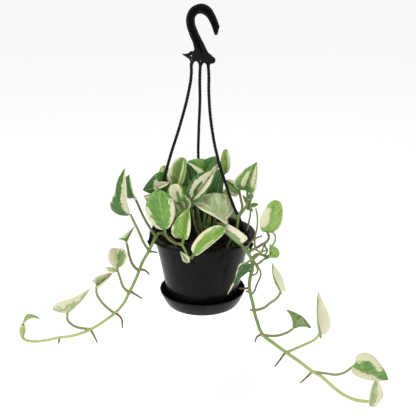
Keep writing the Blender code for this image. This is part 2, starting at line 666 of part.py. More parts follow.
    made.append(plant(
        "crown_top",
        [*rooted(*STEM_FEET["crown_top"]), (-1, 16, -279), (0, 14, -248)],
        (VINE_R, VINE_R * 0.7),
        [("flat", [(0, 14, -249), (-7, 14, -228)],
          (5, 8, -216), (26, 2, -187), (7, 14, -195), (26, -4, -207), 3, BROAD),
         ("crest", [(0, 14, -249), (4, 12, -230)],
          (8, 8, -210), (-18, 14, -198), (-4, 4, -209), (0, 14, -192), 2, BROAD),
         ("filler", [(0, 14, -249), (-6, 2, -254)],
          (-18, -8, -256), (-18, -6, -213), (-26, -10, -235), (-6, -8, -236), 2, BROAD),
         ("deep_left", [(-2, 16, -288), (-10, 20, -284)],
          (-5, 20, -304), (-6, 10, -247), (-25, 14, -272), (12, 14, -272), 2, BROAD),
         ("deep_right", [(-2, 16, -288), (8, 20, -284)],
          (18, 18, -303), (22, 8, -247), (7, 12, -272), (41, 12, -272), 2, BROAD),
         ("oval", [(0, 14, -249), (19, 12, -230)],
          (34, 10, -214), (35, 8, -179), (28, 6, -194), (42, 6, -193), 2, OVAL),
         ("shaded", [(0, 14, -249), (9, 6, -247)],
          (21, -8, -247), (30, 0, -202), (10, -10, -226), (32, -4, -225), 3),
         ("low", [(0, 14, -249), (5, 4, -252)],
          (8, -4, -253), (34, -8, -237), (19, -2, -226), (26, -12, -253), 3),
         ("between", [(0, 14, -249), (-12, 6, -240)],
          (-14, -6, -229), (-19, -2, -195), (-27, -8, -210), (0, -6, -208), 2, BROAD)],
        loops=[[(-2, 16, -300), (6, 8, -282), (10, 4, -262), (12, 2, -244)],
               [(-2, 16, -300), (-8, 8, -284), (-12, 4, -264), (-14, 2, -246)]]))
    made.append(plant(
        "back_left",
        [*rooted(*STEM_FEET["back_left"]), (-28, 36, -290), (-33, 40, -274)],
        (VINE_R, VINE_R * 0.7),
        [("outer", [(-33, 40, -275), (-42, 42, -266)],
          (-45, 44, -275), (-76, 54, -272), (-56, 46, -259), (-61, 56, -293), 3),
         ("upper", [(-33, 40, -275), (-36, 44, -258)],
          (-33, 48, -261), (-42, 66, -231), (-50, 58, -249), (-23, 60, -245), 3),
         ("hanging", [(-28, 38, -286), (-29, 62, -280), (-30, 80, -284)],
          (-31, 86, -292), (-36, 96, -338), (-54, 94, -312), (-14, 96, -310), 4)]))
    made.append(plant(
        "back_right",
        [*rooted(*STEM_FEET["back_right"]), (32, 32, -290), (30, 36, -272)],
        (VINE_R, VINE_R * 0.7),
        [("outer", [(30, 36, -273), (28, 38, -262)],
          (20, 40, -264), (46, 52, -250), (28, 48, -249), (40, 46, -269), 3),
         ("upper", [(30, 36, -273), (20, 34, -256)],
          (11, 28, -248), (11, 34, -215), (-3, 30, -228), (25, 30, -228), 3),
         ("hanging", [(31, 34, -284), (30, 58, -280), (33, 74, -283)],
          (36, 81, -291), (46, 93, -336), (20, 94, -312), (62, 80, -312), 4)]))
    for thing in made:
        finish(thing, leafy[thing.name], 50.0)


def main():
    clear_scene()
    make_pot(material("black_pot_plastic", (0.020, 0.020, 0.019), 0.28))
    make_saucer(material("black_saucer_plastic", (0.022, 0.022, 0.021), 0.25))
    make_soil(material("potting_soil", (0.060, 0.040, 0.026), 0.95))
    make_hanger(material("black_hanger_plastic", (0.035, 0.035, 0.037), 0.42))
    leafy = {}
    for index, name in enumerate(STEM_FEET):
        leafy[name] = material("leaves_" + name, (0.20 + 0.012 * index, 0.36, 0.10), 0.45)
    make_plants(leafy)
    for rest in list(CUTTERS.objects):
        rest.hide_render = True
        rest.display_type = "WIRE"


main()
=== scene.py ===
import math
import random

import bmesh
import bpy
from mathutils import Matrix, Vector


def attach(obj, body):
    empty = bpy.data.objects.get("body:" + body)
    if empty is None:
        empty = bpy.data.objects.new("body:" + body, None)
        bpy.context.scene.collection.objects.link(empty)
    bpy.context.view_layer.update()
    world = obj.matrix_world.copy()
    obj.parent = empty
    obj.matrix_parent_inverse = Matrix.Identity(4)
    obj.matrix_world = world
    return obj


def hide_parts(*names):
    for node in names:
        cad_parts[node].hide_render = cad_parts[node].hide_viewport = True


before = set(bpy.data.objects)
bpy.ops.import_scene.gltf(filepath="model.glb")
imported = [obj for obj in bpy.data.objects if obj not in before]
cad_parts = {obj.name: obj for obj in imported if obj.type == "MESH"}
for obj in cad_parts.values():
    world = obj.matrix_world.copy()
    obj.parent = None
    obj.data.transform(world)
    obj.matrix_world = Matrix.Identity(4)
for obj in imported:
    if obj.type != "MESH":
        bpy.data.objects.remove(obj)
bpy.ops.object.select_all(action="DESELECT")
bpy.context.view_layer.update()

MM = 0.001

# Sizes are in mm. The hook's inner top is the origin, and the pot hangs below it, 3 mm to its right.
POT_X = 3.0
RIM_Z = -297.0
SOIL_TOP = RIM_Z - 13.0
TURN_STEPS = 120
MOULD_EDGE = 0.35

# Profiles of (radius, height)
POT_PROFILE = (
    (0.0, -399.8), (44.6, -399.8), (46.4, -397.6), (48.9, -388.2), (52.5, -369.3), (56.7, -341.3),
    (60.3, -324.4), (64.4, -306.6), (65.6, -299.6), (66.6, -297.0), (74.3, -297.0), (75.0, -297.7),
    (75.0, -300.5), (73.6, -300.5), (73.4, -298.8), (68.6, -298.8), (67.0, -307.0), (63.1, -324.0),
    (59.5, -341.0), (54.9, -369.0), (50.6, -388.0), (47.8, -399.0), (45.6, -401.3), (0.0, -401.3),
)
SAUCER_PROFILE = (
    (0.0, -401.6), (50.2, -401.6), (52.2, -400.6), (57.2, -390.0), (59.6, -383.6), (60.2, -382.0),
    (61.2, -382.0), (61.8, -382.8), (61.3, -384.4), (58.8, -390.4), (55.6, -397.4), (52.6, -402.0),
    (50.5, -403.0), (0.0, -403.0),
)
SOIL_PROFILE = (
    (0.0, -309.2), (12.0, -309.2), (24.0, -309.4), (36.0, -309.8), (48.0, -310.4), (57.0, -310.8),
    (62.8, -311.4), (59.7, -324.4), (56.1, -341.3), (51.9, -369.3), (48.3, -388.2), (46.0, -397.4),
    (44.3, -399.5), (0.0, -399.5),
)

# Ears on the rim: distance from the pot's axis, then the ear's own sizes
EAR_REACH = 79.0
EAR_R = 4.0
EAR_THICK = 3.0
EAR_EDGE = 0.3
EAR_HOLE_R = 2.65
NECK_INWARD = 3.4
NECK_SIZE = (6.4, 7.4, 2.6)

# Soil: faces above SURFACE_Z and inside SURFACE_R are uneven
SOIL_STEPS = 96
SURFACE_Z = -312.0
SURFACE_R = 62.0
UNEVEN = (("heaps", 12.0, 3.2), ("crumbs", 3.0, 1.6))
BIT_COUNT = 340
BIT_REACH = 61.5
BIT_Z = -309.6
BIT_SIZES = (0.9, 1.2, 1.6, 2.3)
BARK_SHARE = 0.3

# Hook: outline and groove as (x, z), with soft curves but for the sharp corners of the outline
SOFT = "AUTO"
SHARP = "VECTOR"
HOOK_DEPTH = 6.0
HOOK_EDGE = 0.9
GROOVE_OUTWARD = 1.9
GROOVE_RADII = (2.0, *[3.4] * 9, 2.1)
HOOK_OUTLINE = (
    (-8.0, -46.5), (-8.0, -39.0), (-13.0, -26.0), (-17.0, -12.0), (-16.5, -3.0), (-12.0, 6.0),
    (-4.0, 11.2), (4.5, 12.2), (13.0, 8.4), (19.0, 0.5), (25.8, -15.4, SHARP), (23.7, -24.4, SHARP),
    (22.2, -26.2), (20.4, -26.6), (18.8, -24.8, SHARP), (13.6, -11.2), (7.5, -2.6), (0.0, 0.0),
    (-4.6, -3.0), (-5.8, -10.0), (-2.0, -22.0), (6.0, -38.0), (11.5, -48.5), (17.0, -54.0), (16.0, -60.0),
    (12.8, -66.0, SHARP), (9.6, -66.0, SHARP), (6.2, -61.8), (2.8, -66.0, SHARP), (-0.4, -66.0, SHARP),
    (-4.8, -59.6), (-9.4, -66.0, SHARP), (-12.6, -66.0, SHARP), (-13.0, -58.0), (-17.5, -54.2),
    (-23.0, -50.4, SHARP), (-15.0, -49.4), (-11.5, -46.8),
)
GROOVE = (
    (4.0, -50.0), (-1.6, -38.0), (-7.5, -24.5), (-11.2, -12.0), (-10.0, -2.0), (-4.5, 4.4), (3.0, 6.2),
    (10.5, 2.6), (16.0, -5.5), (19.8, -14.5), (21.6, -21.5),
)
# Paths of the strands from the hub down, by the direction of their ear in degrees
STRANDS = {
    86.0: ((1, 0, -62), (0, 7, -82), (0, 17, -113), (-2, 32, -158), (-3, 47, -201), (0, 62, -247),
           (5, 72, -278)),
    206.0: ((-11, 0, -62), (-11, -2, -77), (-14, -5, -96), (-26, -12, -141), (-40, -18, -184),
            (-49, -23, -217), (-56, -27, -248), (-64, -32, -282)),
    326.0: ((11, 0, -62), (12, -3, -78), (12, -7, -100), (16, -16, -145), (25, -24, -188),
            (33, -28, -213), (46, -35, -249), (61, -40, -280)),
}
STRAND_R = 2.2
STRAND_FLAT = 0.88
STRAND_PITCH = 9.0
STRAND_STEPS = 44
STRAND_LEAD = 3.0
PIN_HOLES = ((-10.6, -52.6, 0.8), (-10.2, -57.4, 0.55), (0.9, -59.4, 0.6))
BARB_GAP = 0.3
BARB_TIP_R = 1.3
BARB_R = 3.2
BARB_LENGTH = 6.5
KNOB_X = 16.4
KNOB_Z = -58.2
# The knob and its two faces: radius, depth, place in y, edge
KNOB_PINS = ((4.3, 7.4, 0.0, 0.7), (2.4, 0.9, -3.6, 0.35), (2.4, 0.9, 3.6, 0.35))

# Stems, stalks and roots: radii, where a collar sits along its stalk, and a foot from the soil's top
VINE_R = 2.2
STALK_R = 1.65
LOOSE_R = 1.1
ROOT_R = 0.9
COLLAR_RADII = (2.6, 2.2, 1.5)
COLLAR_PLACES = (-1.5, 2.5, 7.0)
KNEE_LENGTH = 4.0
FOOT_RISES = (-14.0, -4.0, 4.0)

# Blades: thickness, faces across and along, cup, ripple of the margin and crease at the midrib
BLADE = 0.5
ACROSS = 16
ALONG = 22
CUP = 0.10
RIPPLE = 0.032
RIPPLE_TURNS = 9.0
RIPPLE_LAG = 2.0
CREASE_DEPTH = 0.35
CREASE_WIDTH = 0.10

# Where a blade is cream: limit of the field, and its slope at a band along the margin and at a patch
FIELD_LIMIT = 1.2
BAND_SLOPE = 3.2
PATCH_SLOPE = 2.4

# Merging distances in metres
MERGE = 0.00001
FINE_MERGE = 0.000001

# Outlines of blades. Rows: place of the midrib, place of the margin and its share of the half width.
HEART = ((0.0, -0.06, 0.36), (0.14, 0.02, 0.84), (0.38, 0.3, 1.0), (0.64, 0.6, 0.86), (0.86, 0.84, 0.47))
SPEAR = ((0.0, -0.08, 0.3), (0.12, 0.0, 0.78), (0.32, 0.26, 1.0), (0.58, 0.54, 0.8), (0.82, 0.8, 0.36))
BROAD = ((0.0, -0.04, 0.58), (0.12, 0.06, 0.92), (0.34, 0.3, 1.0), (0.6, 0.58, 0.76), (0.84, 0.83, 0.38))
OVAL = (
    (0.0, 0.0, 0.1), (0.06, 0.02, 0.52), (0.18, 0.15, 0.82), (0.4, 0.38, 1.0), (0.66, 0.65, 0.93),
    (0.86, 0.87, 0.69), (0.965, 0.98, 0.37),
)
LONG = (
    (0.0, -0.02, 0.14), (0.05, 0.0, 0.66), (0.15, 0.12, 1.0), (0.32, 0.3, 0.78), (0.52, 0.5, 0.46),
    (0.76, 0.74, 0.26),
)
SAIL = (
    (0.0, -0.02, 0.14), (0.04, 0.0, 0.66), (0.13, 0.11, 1.0), (0.28, 0.27, 1.0), (0.4, 0.4, 0.8),
    (0.52, 0.52, 0.58), (0.7, 0.7, 0.46), (0.87, 0.87, 0.3),
)
LOBED = ((0.0, -0.1, 0.86), (0.16, 0.1, 1.0), (0.38, 0.35, 0.85), (0.6, 0.58, 0.54), (0.82, 0.81, 0.24))
ARROW = ((0.0, -0.24, 1.0), (0.14, 0.02, 0.56), (0.36, 0.31, 0.34), (0.66, 0.63, 0.2))
FAN = ((0.0, 0.0, 0.14), (0.25, 0.27, 0.3), (0.5, 0.54, 0.62), (0.66, 0.7, 1.0), (0.88, 0.9, 0.52))
WEDGE = (
    (0.0, 0.0, 0.05), (0.1, 0.06, 0.42), (0.26, 0.21, 0.76), (0.46, 0.43, 1.0), (0.68, 0.68, 0.98),
    (0.86, 0.87, 0.64), (0.965, 0.975, 0.33),
)
TEAR = (
    (0.0, 0.0, 0.1), (0.05, 0.01, 0.56), (0.16, 0.12, 0.88), (0.36, 0.32, 1.0), (0.6, 0.57, 0.8),
    (0.82, 0.81, 0.42),
)
SWEPT = (
    (0.0, -0.04, 0.5), (0.1, 0.04, 0.98), (0.28, 0.24, 1.22), (0.46, 0.44, 1.18), (0.62, 0.62, 0.78),
    (0.76, 0.78, 0.4), (0.9, 0.91, 0.22),
)
SLIP = ((0.0, 0.0, 0.4), (0.36, 0.36, 1.0), (0.74, 0.74, 0.62))

# Greens of the blades, from deep shade to young growth, and their other tones. The three darkest greens are
# painted shade: darkened for blades that sit in shadow inside the crown.
DEEP_PAINTED_SHADE = (0.014, 0.040, 0.009)
PAINTED_SHADE_GREEN = (0.020, 0.080, 0.008)
DIM_PAINTED_SHADE = (0.022, 0.078, 0.010)
DARK = (0.036, 0.122, 0.014)
BOTTLE = (0.050, 0.112, 0.034)
DULL = (0.100, 0.190, 0.048)
MID = (0.110, 0.240, 0.040)
OLIVE = (0.135, 0.205, 0.062)
GRASS = (0.150, 0.270, 0.058)
SAGE = (0.155, 0.240, 0.075)
FRESH = (0.195, 0.335, 0.058)
LIME = (0.250, 0.330, 0.095)
MILKY = (0.300, 0.370, 0.180)
YOUNG = (0.300, 0.430, 0.090)
PALE = (0.330, 0.410, 0.200)
CREAM = (0.690, 0.645, 0.460)
IVORY = (0.62, 0.61, 0.38)
VEIN_GREEN = (0.50, 0.56, 0.26)
RIB_GREEN = (0.47, 0.56, 0.25)
UNDER_GREEN = (0.38, 0.45, 0.24)
# The underside's cream is partly painted light: brighter than the upper face's cream, so that undersides
# look lit.
UNDER_CREAM_PAINTED_LIGHT = (0.86, 0.82, 0.62)

# Border between green and cream: slant and number of the side veins, raggedness and softness
VEIN_SLANT = 0.30
VEIN_COUNT = 34.0
COARSE_RAGS = 2.4
FINE_RAGS = 1.9
BORDER_SOFT = 0.07

# Tones of stems, roots, soil and plastic
STEM_LIGHT = (0.170, 0.250, 0.062)
STEM_DARK = (0.120, 0.185, 0.045)
STEM_FAR = (0.430, 0.490, 0.200)
STEM_SPECK = (0.21, 0.15, 0.06)
STEM_OLD = (0.115, 0.085, 0.035)
ROOT_DARK = (0.105, 0.068, 0.026)
ROOT_LIGHT = (0.250, 0.170, 0.072)
# Soil and bark tones are darker than their own brown: painted shade under the leaves.
SOIL_DARK = (0.005, 0.004, 0.003)
SOIL_LIGHT = (0.017, 0.012, 0.008)
SOIL_GRAIN = (0.060, 0.042, 0.027)
BARK_DARK = (0.022, 0.013, 0.008)
BARK_LIGHT = (0.085, 0.054, 0.031)
POT_TONE = (0.0045, 0.0045, 0.0042)
SAUCER_TONE = (0.0058, 0.0056, 0.0052)
HANGER_TONE = (0.0046, 0.0046, 0.0050)
# The groove's tone is painted shade: darker than the hanger's, so the recess looks shaded.
GROOVE_PAINTED_SHADE_TONE = (0.0018, 0.0018, 0.0020)
DUST = (0.16, 0.15, 0.13)

# Room, in metres. A lamp is its name, place, width and height, and power.
WHITE = (1.0, 1.0, 1.0, 1.0)
FLOOR_TONE = (0.93, 0.93, 0.93, 1.0)
FLOOR_GLOW = 0.48
FLOOR_SIZE = 60.0
FLOOR_Z = -0.62
SKY_FADE = {"From Min": 0.08, "From Max": 0.30, "To Min": 0.97, "To Max": 0.47}
LAMPS = (
    ("left_lamp", (-1.2, -0.60, 0.10), (0.22, 1.3), 3.6),
    ("right_lamp", (1.3, -0.9, 0.40), (0.4, 0.8), 2.6),
    ("top_lamp", (-0.30, -0.55, 1.1), (0.6, 0.6), 14.0),
)
LAMP_AIM = (0.0, 0.0, -0.30)
CAMERA_PLACE = (0.0109, -0.9, 0.0437)
CAMERA_DOWN = 18.74
SENSOR = 36.0
FOCAL_PIXELS = 679.5
IMAGE_PIXELS = 416.0
NEAR_CLIP = 0.05

# For each leafy stem: its foot in the soil, its end radius as a share of the first, its path
STEMS = {
    "left_vine": ((-35, -23), 0.9, (
        (-45, -31, -293), (-55, -38, -285), (-59, -43, -288), (-64, -49, -296), (-69, -50, -306),
        (-78, -50, -322), (-83, -50, -335), (-91, -50, -354), (-98, -50, -368), (-106, -50, -384),
        (-119, -51, -399), (-132, -52, -409), (-153, -53, -423), (-178, -55, -432), (-198, -57, -434),
        (-222, -59, -438), (-237, -60, -438), (-246, -62, -433), (-248, -62, -426))),
    "right_vine": ((38, -38), 1.15, (
        (41, -41, -296), (46, -47, -289), (54, -56, -294), (61, -62, -300), (67, -64, -308),
        (70, -64, -318), (70, -63, -328), (68, -62, -339), (67, -62, -354), (69, -62, -366),
        (72, -63, -378), (74, -63, -389), (78, -64, -403), (86, -66, -423), (103, -69, -437),
        (119, -73, -448), (139, -78, -461), (155, -83, -472), (167, -86, -478), (186, -91, -494),
        (205, -96, -505), (221, -100, -508), (234, -103, -507))),
    "front_vine": ((-23, -46), 0.6, (
        (-24, -54, -296), (-24, -64, -291), (-20, -74, -293), (-17, -81, -297), (-15, -83, -302),
        (-15, -84, -307))),
    "crown_left": ((-27, -4), 0.7, ((-28, -8, -280), (-33, -10, -255))),
    "crown_centre": ((6, -17), 0.7, ((6, -16, -283), (7, -16, -256))),
    "crown_right": ((47, -25), 0.7, ((49, -34, -292), (51, -43, -266), (52, -42, -258))),
    "crown_top": ((-2, 17), 0.7, ((-1, 16, -279), (0, 14, -248))),
    "back_left": ((-26, 32), 0.7, ((-28, 36, -290), (-33, 40, -274))),
    "back_right": ((32, 28), 0.7, ((32, 32, -290), (30, 36, -272))),
}

# For each leaf: outline, arch, base, tip, left and right margin, path of its stalk, and paint.
# Paint is a green, the share of cream in the left and right half, and patches. A patch is
# (place across, place along, half width, half length, 1 for cream or -1 for green).
LEAVES = {}
LEAVES["left_vine"] = (
    ("behind", HEART, 2, (-86, -44, -232), (-92, -46, -200), (-103, -34, -225), (-85, -58, -213),
     ((-59, -43, -288), (-67, -44, -275), (-73, -44, -264)), (DARK, 0.1, 0.3)),
    ("tall", SAIL, 5, (-91, -58, -251), (-95, -62, -187), (-115, -58, -239), (-90, -74, -212),
     ((-69, -50, -305), (-75, -52, -294), (-80, -55, -279), (-84, -57, -268)),
     (DARK, 0.1, 0.95, (-0.05, 0.5, 0.3, 0.45, 1), (-0.62, 0.22, 0.42, 0.26, -1))),
    ("arrow", ARROW, 2, (-99, -48, -294), (-88, -30, -277), (-114, -54, -286), (-94, -56, -288),
     ((-84, -50, -335), (-91, -51, -326), (-95, -52, -313), (-97, -51, -302)),
     (MID, 0.6, 0.4, (-0.45, 0.1, 0.3, 0.14, -1))),
    ("flap", SLIP, 0, (-113, -52, -334), (-129, -50, -330), (-122, -50, -328), (-121, -54, -337),
     (), (PALE, 0.3, 0.3)),
    ("round", OVAL, 3, (-113, -52, -330), (-114, -34, -309), (-124, -58, -314), (-99, -50, -316),
     ((-98, -50, -368), (-105, -52, -359), (-109, -53, -345)),
     (SAGE, 1.0, 1.0, (0.42, 0.3, 0.4, 0.38, -1))),
    ("folded", LOBED, 2, (-142, -52, -357), (-119, -34, -343), (-144, -57, -343), (-135, -59, -354),
     ((-120, -51, -399), (-132, -53, -386), (-139, -54, -375), (-142, -54, -367)),
     (PALE, 0.85, 0.6, (-0.45, 0.3, 0.35, 0.25, -1))),
    ("wide", LOBED, 3, (-184, -56, -398), (-151, -48, -362), (-191, -64, -371), (-188, -40, -393),
     ((-154, -53, -423), (-172, -56, -418), (-180, -57, -412), (-184, -57, -406)),
     (PALE, 0.8, 0.5, (-0.8, 0.06, 0.26, 0.14, -1), (-0.35, 0.35, 0.3, 0.22, -1),
      (-0.3, 0.75, 0.4, 0.14, -1))),
    ("rolled", SLIP, -1, (-248, -62, -432), (-244, -62, -407), (-253, -59, -422), (-243, -59, -422),
     (), (YOUNG, 0.35, 0.35)),
    ("hooked", SLIP, -6, (-244, -65, -410), (-219, -62, -404), (-231, -67, -399), (-233, -58, -401),
     ((-247, -62, -430), (-246, -64, -418)), (LIME, 0.0, 0.0)),
)
LEAVES["right_vine"] = (
    ("over_rim", BROAD, 3, (55, -62, -291), (21, -38, -268), (54, -48, -274), (40, -68, -277),
     ((59, -61, -298),), (DULL, 0.75, 0.0, (-0.3, 0.42, 0.22, 0.26, -1), (-0.4, 0.86, 0.6, 0.2, -1))),
    ("before_pot", LONG, 2, (66, -70, -318), (37, -75, -359), (59, -80, -330), (51, -66, -324),
     ((70, -63, -328), (70, -66, -322)),
     (BOTTLE, 0.0, 0.14, (0.0, 0.05, 1.4, 0.22, -1), (0.2, 0.88, 0.7, 0.13, 1))),
    ("right_high", OVAL, 3, (90, -52, -278), (101, -56, -232), (80, -56, -256), (111, -58, -248),
     ((63, -62, -303), (74, -60, -298), (83, -58, -293), (90, -56, -289), (92, -54, -283)),
     (FRESH, 0.34, 0.12, (-0.55, 0.16, 0.42, 0.15, -1), (-0.62, 0.46, 0.4, 0.2, 1),
      (-0.6, 0.8, 0.5, 0.16, -1))),
    ("young", HEART, 1, (92, -60, -311), (93, -60, -292), (91, -70, -296), (106, -58, -307),
     ((69, -63, -312), (76, -62, -306), (86, -61, -308)), (FRESH, 0.0, 0.0)),
    ("upright", BROAD, 5, (109, -69, -358), (97, -66, -316), (117, -62, -344), (104, -80, -331),
     ((74, -63, -389), (87, -66, -383), (95, -68, -375), (104, -69, -367)),
     (MID, 1.0, 1.0, (0.95, 0.55, 0.34, 0.62, -1), (0.2, 0.93, 0.8, 0.13, -1))),
    ("dark", FAN, 2, (129, -71, -410), (140, -66, -396), (118, -62, -389), (151, -78, -408),
     ((87, -66, -425), (103, -68, -425), (115, -70, -421), (123, -71, -416)), (OLIVE, 0.0, 0.0)),
    ("cream", BROAD, 3, (162, -80, -416), (158, -76, -353), (178, -76, -399), (161, -92, -385),
     ((120, -73, -448), (130, -76, -441), (145, -78, -432), (156, -79, -425)),
     (MID, 1.0, 1.0, (0.7, 0.4, 0.4, 0.5, -1))),
    ("low", BROAD, 2, (208, -95, -456), (257, -98, -476), (223, -90, -437), (211, -105, -466),
     ((157, -83, -473), (173, -88, -472), (187, -91, -472), (198, -93, -467)),
     (MID, 0.55, 0.8, (-0.22, 0.36, 0.36, 0.22, -1), (-0.2, 0.9, 0.9, 0.26, -1))),
    ("tip", SLIP, -2, (234, -103, -514), (238, -103, -469), (231, -106, -493), (251, -106, -488),
     (), (PALE, 0.55, 0.55)),
)
LEAVES["front_vine"] = (
    ("heart", WEDGE, 3, (-46, -62, -271), (-55, -50, -220), (-70, -62, -245), (-32, -58, -246),
     ((-24, -64, -291), (-34, -64, -288), (-40, -63, -284), (-44, -62, -279)),
     (MID, 0.26, 0.34, (-0.8, 0.98, 0.9, 0.46, -1), (0.8, 0.98, 0.9, 0.34, -1))),
    ("cupped", TEAR, -2, (-21, -64, -282), (-14, -60, -241), (-35, -72, -256), (-10, -72, -256),
     ((-23, -65, -291),), (FRESH, 0.1, 0.1, (0.85, 0.52, 0.55, 0.2, 1))),
    ("spoon", OVAL, 1, (-7, -86, -296), (33, -66, -268), (0, -76, -273), (8, -92, -288),
     ((-15, -83, -302), (-11, -85, -301)),
     (FRESH, 0.18, 0.16, (-0.95, 0.22, 0.42, 0.3, 1), (0.45, 0.42, 0.16, 0.12, 1))),
    ("sheath", SLIP, 0, (-15, -84, -308), (-25, -85, -292), (-23, -88, -301), (-15, -90, -297),
     (), (PALE, 0.3, 0.3)),
)
LEAVES["crown_left"] = (
    ("dark", BROAD, 3, (-44, -12, -223), (-77, -28, -227), (-61, -22, -238), (-58, -12, -207),
     ((-33, -10, -256), (-39, -8, -233)), (DARK, 0.0, 0.0, (-0.1, 0.5, 0.8, 0.1, 1))),
    ("spear", OVAL, 2, (-32, -14, -226), (-22, -8, -187), (-42, -20, -201), (-17, -20, -201),
     ((-33, -10, -256), (-36, -12, -240)), (GRASS, 0.3, 0.0, (0.3, 0.55, 0.14, 0.42, 1))),
    ("cream", OVAL, 3, (-29, -34, -243), (-35, -26, -219), (-44, -32, -227), (-21, -32, -227),
     ((-33, -10, -256), (-30, -12, -236)),
     (MID, 0.0, 0.0, (0.0, 0.66, 0.88, 0.4, 1), (0.2, 0.36, 0.2, 0.22, -1), (-0.15, 0.4, 0.12, 0.26, 1))),
    ("pale", SPEAR, 1, (-57, -30, -222), (-41, -26, -217), (-50, -30, -213), (-49, -32, -223),
     ((-33, -10, -256), (-43, -34, -239)), (DULL, 1.0, 1.0, (0.8, 0.3, 0.3, 0.4, -1))),
    ("round", OVAL, 2, (-51, -8, -230), (-48, -4, -199), (-58, -8, -213), (-40, -6, -213),
     ((-33, -10, -256), (-40, 0, -236)), (YOUNG, 0.0, 0.12, (-0.4, 0.45, 0.35, 0.3, 1))),
    ("wing", BROAD, 3, (-43, -40, -247), (-75, -36, -232), (-57, -36, -224), (-67, -42, -249),
     ((-28, -8, -280), (-40, -36, -262)), (MID, 0.3, 0.1, (-0.05, 0.7, 0.6, 0.22, 1))),
    ("inner", BROAD, 2, (-26, -30, -259), (-49, -12, -226), (-49, -20, -248), (-18, -18, -237),
     ((-28, -8, -280), (-32, -26, -264)),
     (MID, 0.0, 0.12, (0.05, 0.4, 0.1, 0.3, 1), (0.5, 0.35, 0.1, 0.22, 1))),
)
LEAVES["crown_centre"] = (
    ("middle", SWEPT, 3, (-11, -40, -236), (26, -18, -193), (-8, -42, -209), (10, -38, -221),
     ((7, -16, -257), (-1, -26, -250)),
     (DARK, 0.0, 0.0, (-0.42, 0.42, 0.36, 0.36, 1), (0.36, 0.42, 0.36, 0.34, 1),
      (-0.3, 0.3, 0.13, 0.14, -1), (0.0, 0.5, 0.07, 0.45, -1), (-0.4, 0.88, 0.7, 0.16, 1),
      (0.3, 0.78, 0.3, 0.08, 1))),
    ("pale_big", HEART, 6, (36, -36, -267), (-10, -34, -242), (12, -52, -257), (31, -22, -237),
     ((6, -16, -284), (16, -26, -282), (27, -33, -275)),
     (MILKY, 0.3, 0.12, (0.05, 0.7, 0.1, 0.22, 1), (-0.3, 0.95, 0.6, 0.12, 1),
      (-0.35, 0.2, 0.3, 0.14, -1), (0.3, 0.02, 0.8, 0.1, 1))),
    ("bud", SLIP, 0, (13, -12, -283), (14, -16, -266), (9, -17, -274), (15, -18, -276),
     ((6, -16, -284), (10, -14, -286)), (FRESH, 0.0, 0.0)),
)
LEAVES["crown_right"] = (
    ("speckled", HEART, 2, (54, -4, -236), (35, 10, -224), (43, 0, -242), (47, 0, -220),
     ((52, -42, -259), (57, -30, -252), (56, -14, -244)), (MID, 0.45, 0.45, (0.1, 0.4, 0.3, 0.3, -1))),
    ("spiked", BROAD, 3, (65, -10, -233), (77, -12, -192), (49, -14, -213), (79, -22, -216),
     ((52, -42, -259), (60, -30, -253), (65, -20, -247), (65, -14, -242)),
     (MID, 0.08, 0.14, (-0.4, 0.42, 0.16, 0.26, 1), (0.35, 0.62, 0.3, 0.34, 1))),
    ("curl_up", SLIP, 0, (69, -18, -244), (70, -18, -231), (66, -17, -237), (73, -16, -238),
     ((67, -21, -256),), (DULL, 0.0, 0.0)),
    ("curl_left", SLIP, 0, (67, -20, -250), (58, -20, -236), (61, -22, -246), (65, -22, -241),
     ((70, -21, -258),), (DULL, 0.0, 0.0)),
    ("curl_right", SLIP, 0, (69, -20, -252), (80, -20, -249), (74, -20, -247), (74, -23, -253),
     ((65, -20, -255),), (DULL, 0.0, 0.0)),
)
LEAVES["crown_top"] = (
    ("flat", BROAD, 3, (5, 8, -216), (26, 2, -187), (7, 14, -195), (26, -4, -207),
     ((0, 14, -249), (-7, 14, -228)), (DARK, 0.0, 0.0, (0.0, 0.95, 0.9, 0.12, 1))),
    ("crest", BROAD, 2, (8, 8, -210), (-18, 14, -198), (-4, 4, -215), (0, 14, -192),
     ((0, 14, -249), (4, 12, -230)), (MID, 0.0, 0.0, (-0.38, 0.5, 0.26, 0.46, 1))),
    ("filler", BROAD, 2, (-18, -8, -256), (-18, -6, -213), (-26, -10, -235), (-6, -8, -236),
     ((0, 14, -249), (-6, 2, -254)), (MID, 0.0, 0.1)),
    # These two back blades are painted shade: dark fill where the crown is in shadow.
    ("deep_left", BROAD, 2, (-5, 20, -304), (-6, 10, -247), (-25, 14, -272), (12, 14, -272),
     ((-2, 16, -288), (-10, 20, -284)), (DEEP_PAINTED_SHADE, 0.0, 0.0)),
    ("deep_right", BROAD, 2, (18, 18, -303), (22, 8, -247), (7, 12, -272), (41, 12, -272),
     ((-2, 16, -288), (8, 20, -284)), (DEEP_PAINTED_SHADE, 0.0, 0.06)),
    ("oval", OVAL, 2, (34, 10, -214), (35, 8, -179), (28, 6, -194), (42, 6, -193),
     ((0, 14, -249), (19, 12, -230)), (FRESH, 0.0, 0.16, (0.68, 0.5, 0.16, 0.38, 1))),
    # This blade's green is painted shade.
    ("shaded", HEART, 3, (21, -8, -247), (30, 0, -202), (10, -10, -226), (32, -4, -225),
     ((0, 14, -249), (9, 6, -247)), (PAINTED_SHADE_GREEN, 0.0, 0.0)),
    ("low", HEART, 3, (8, -4, -253), (34, -8, -237), (19, -2, -226), (26, -12, -253),
     ((0, 14, -249), (5, 4, -252)), (MID, 0.2, 0.22)),
    # This blade's green is painted shade.
    ("between", BROAD, 2, (-14, -6, -229), (-19, -2, -195), (-27, -8, -210), (0, -6, -208),
     ((0, 14, -249), (-12, 6, -240)), (DIM_PAINTED_SHADE, 0.0, 0.06)),
)
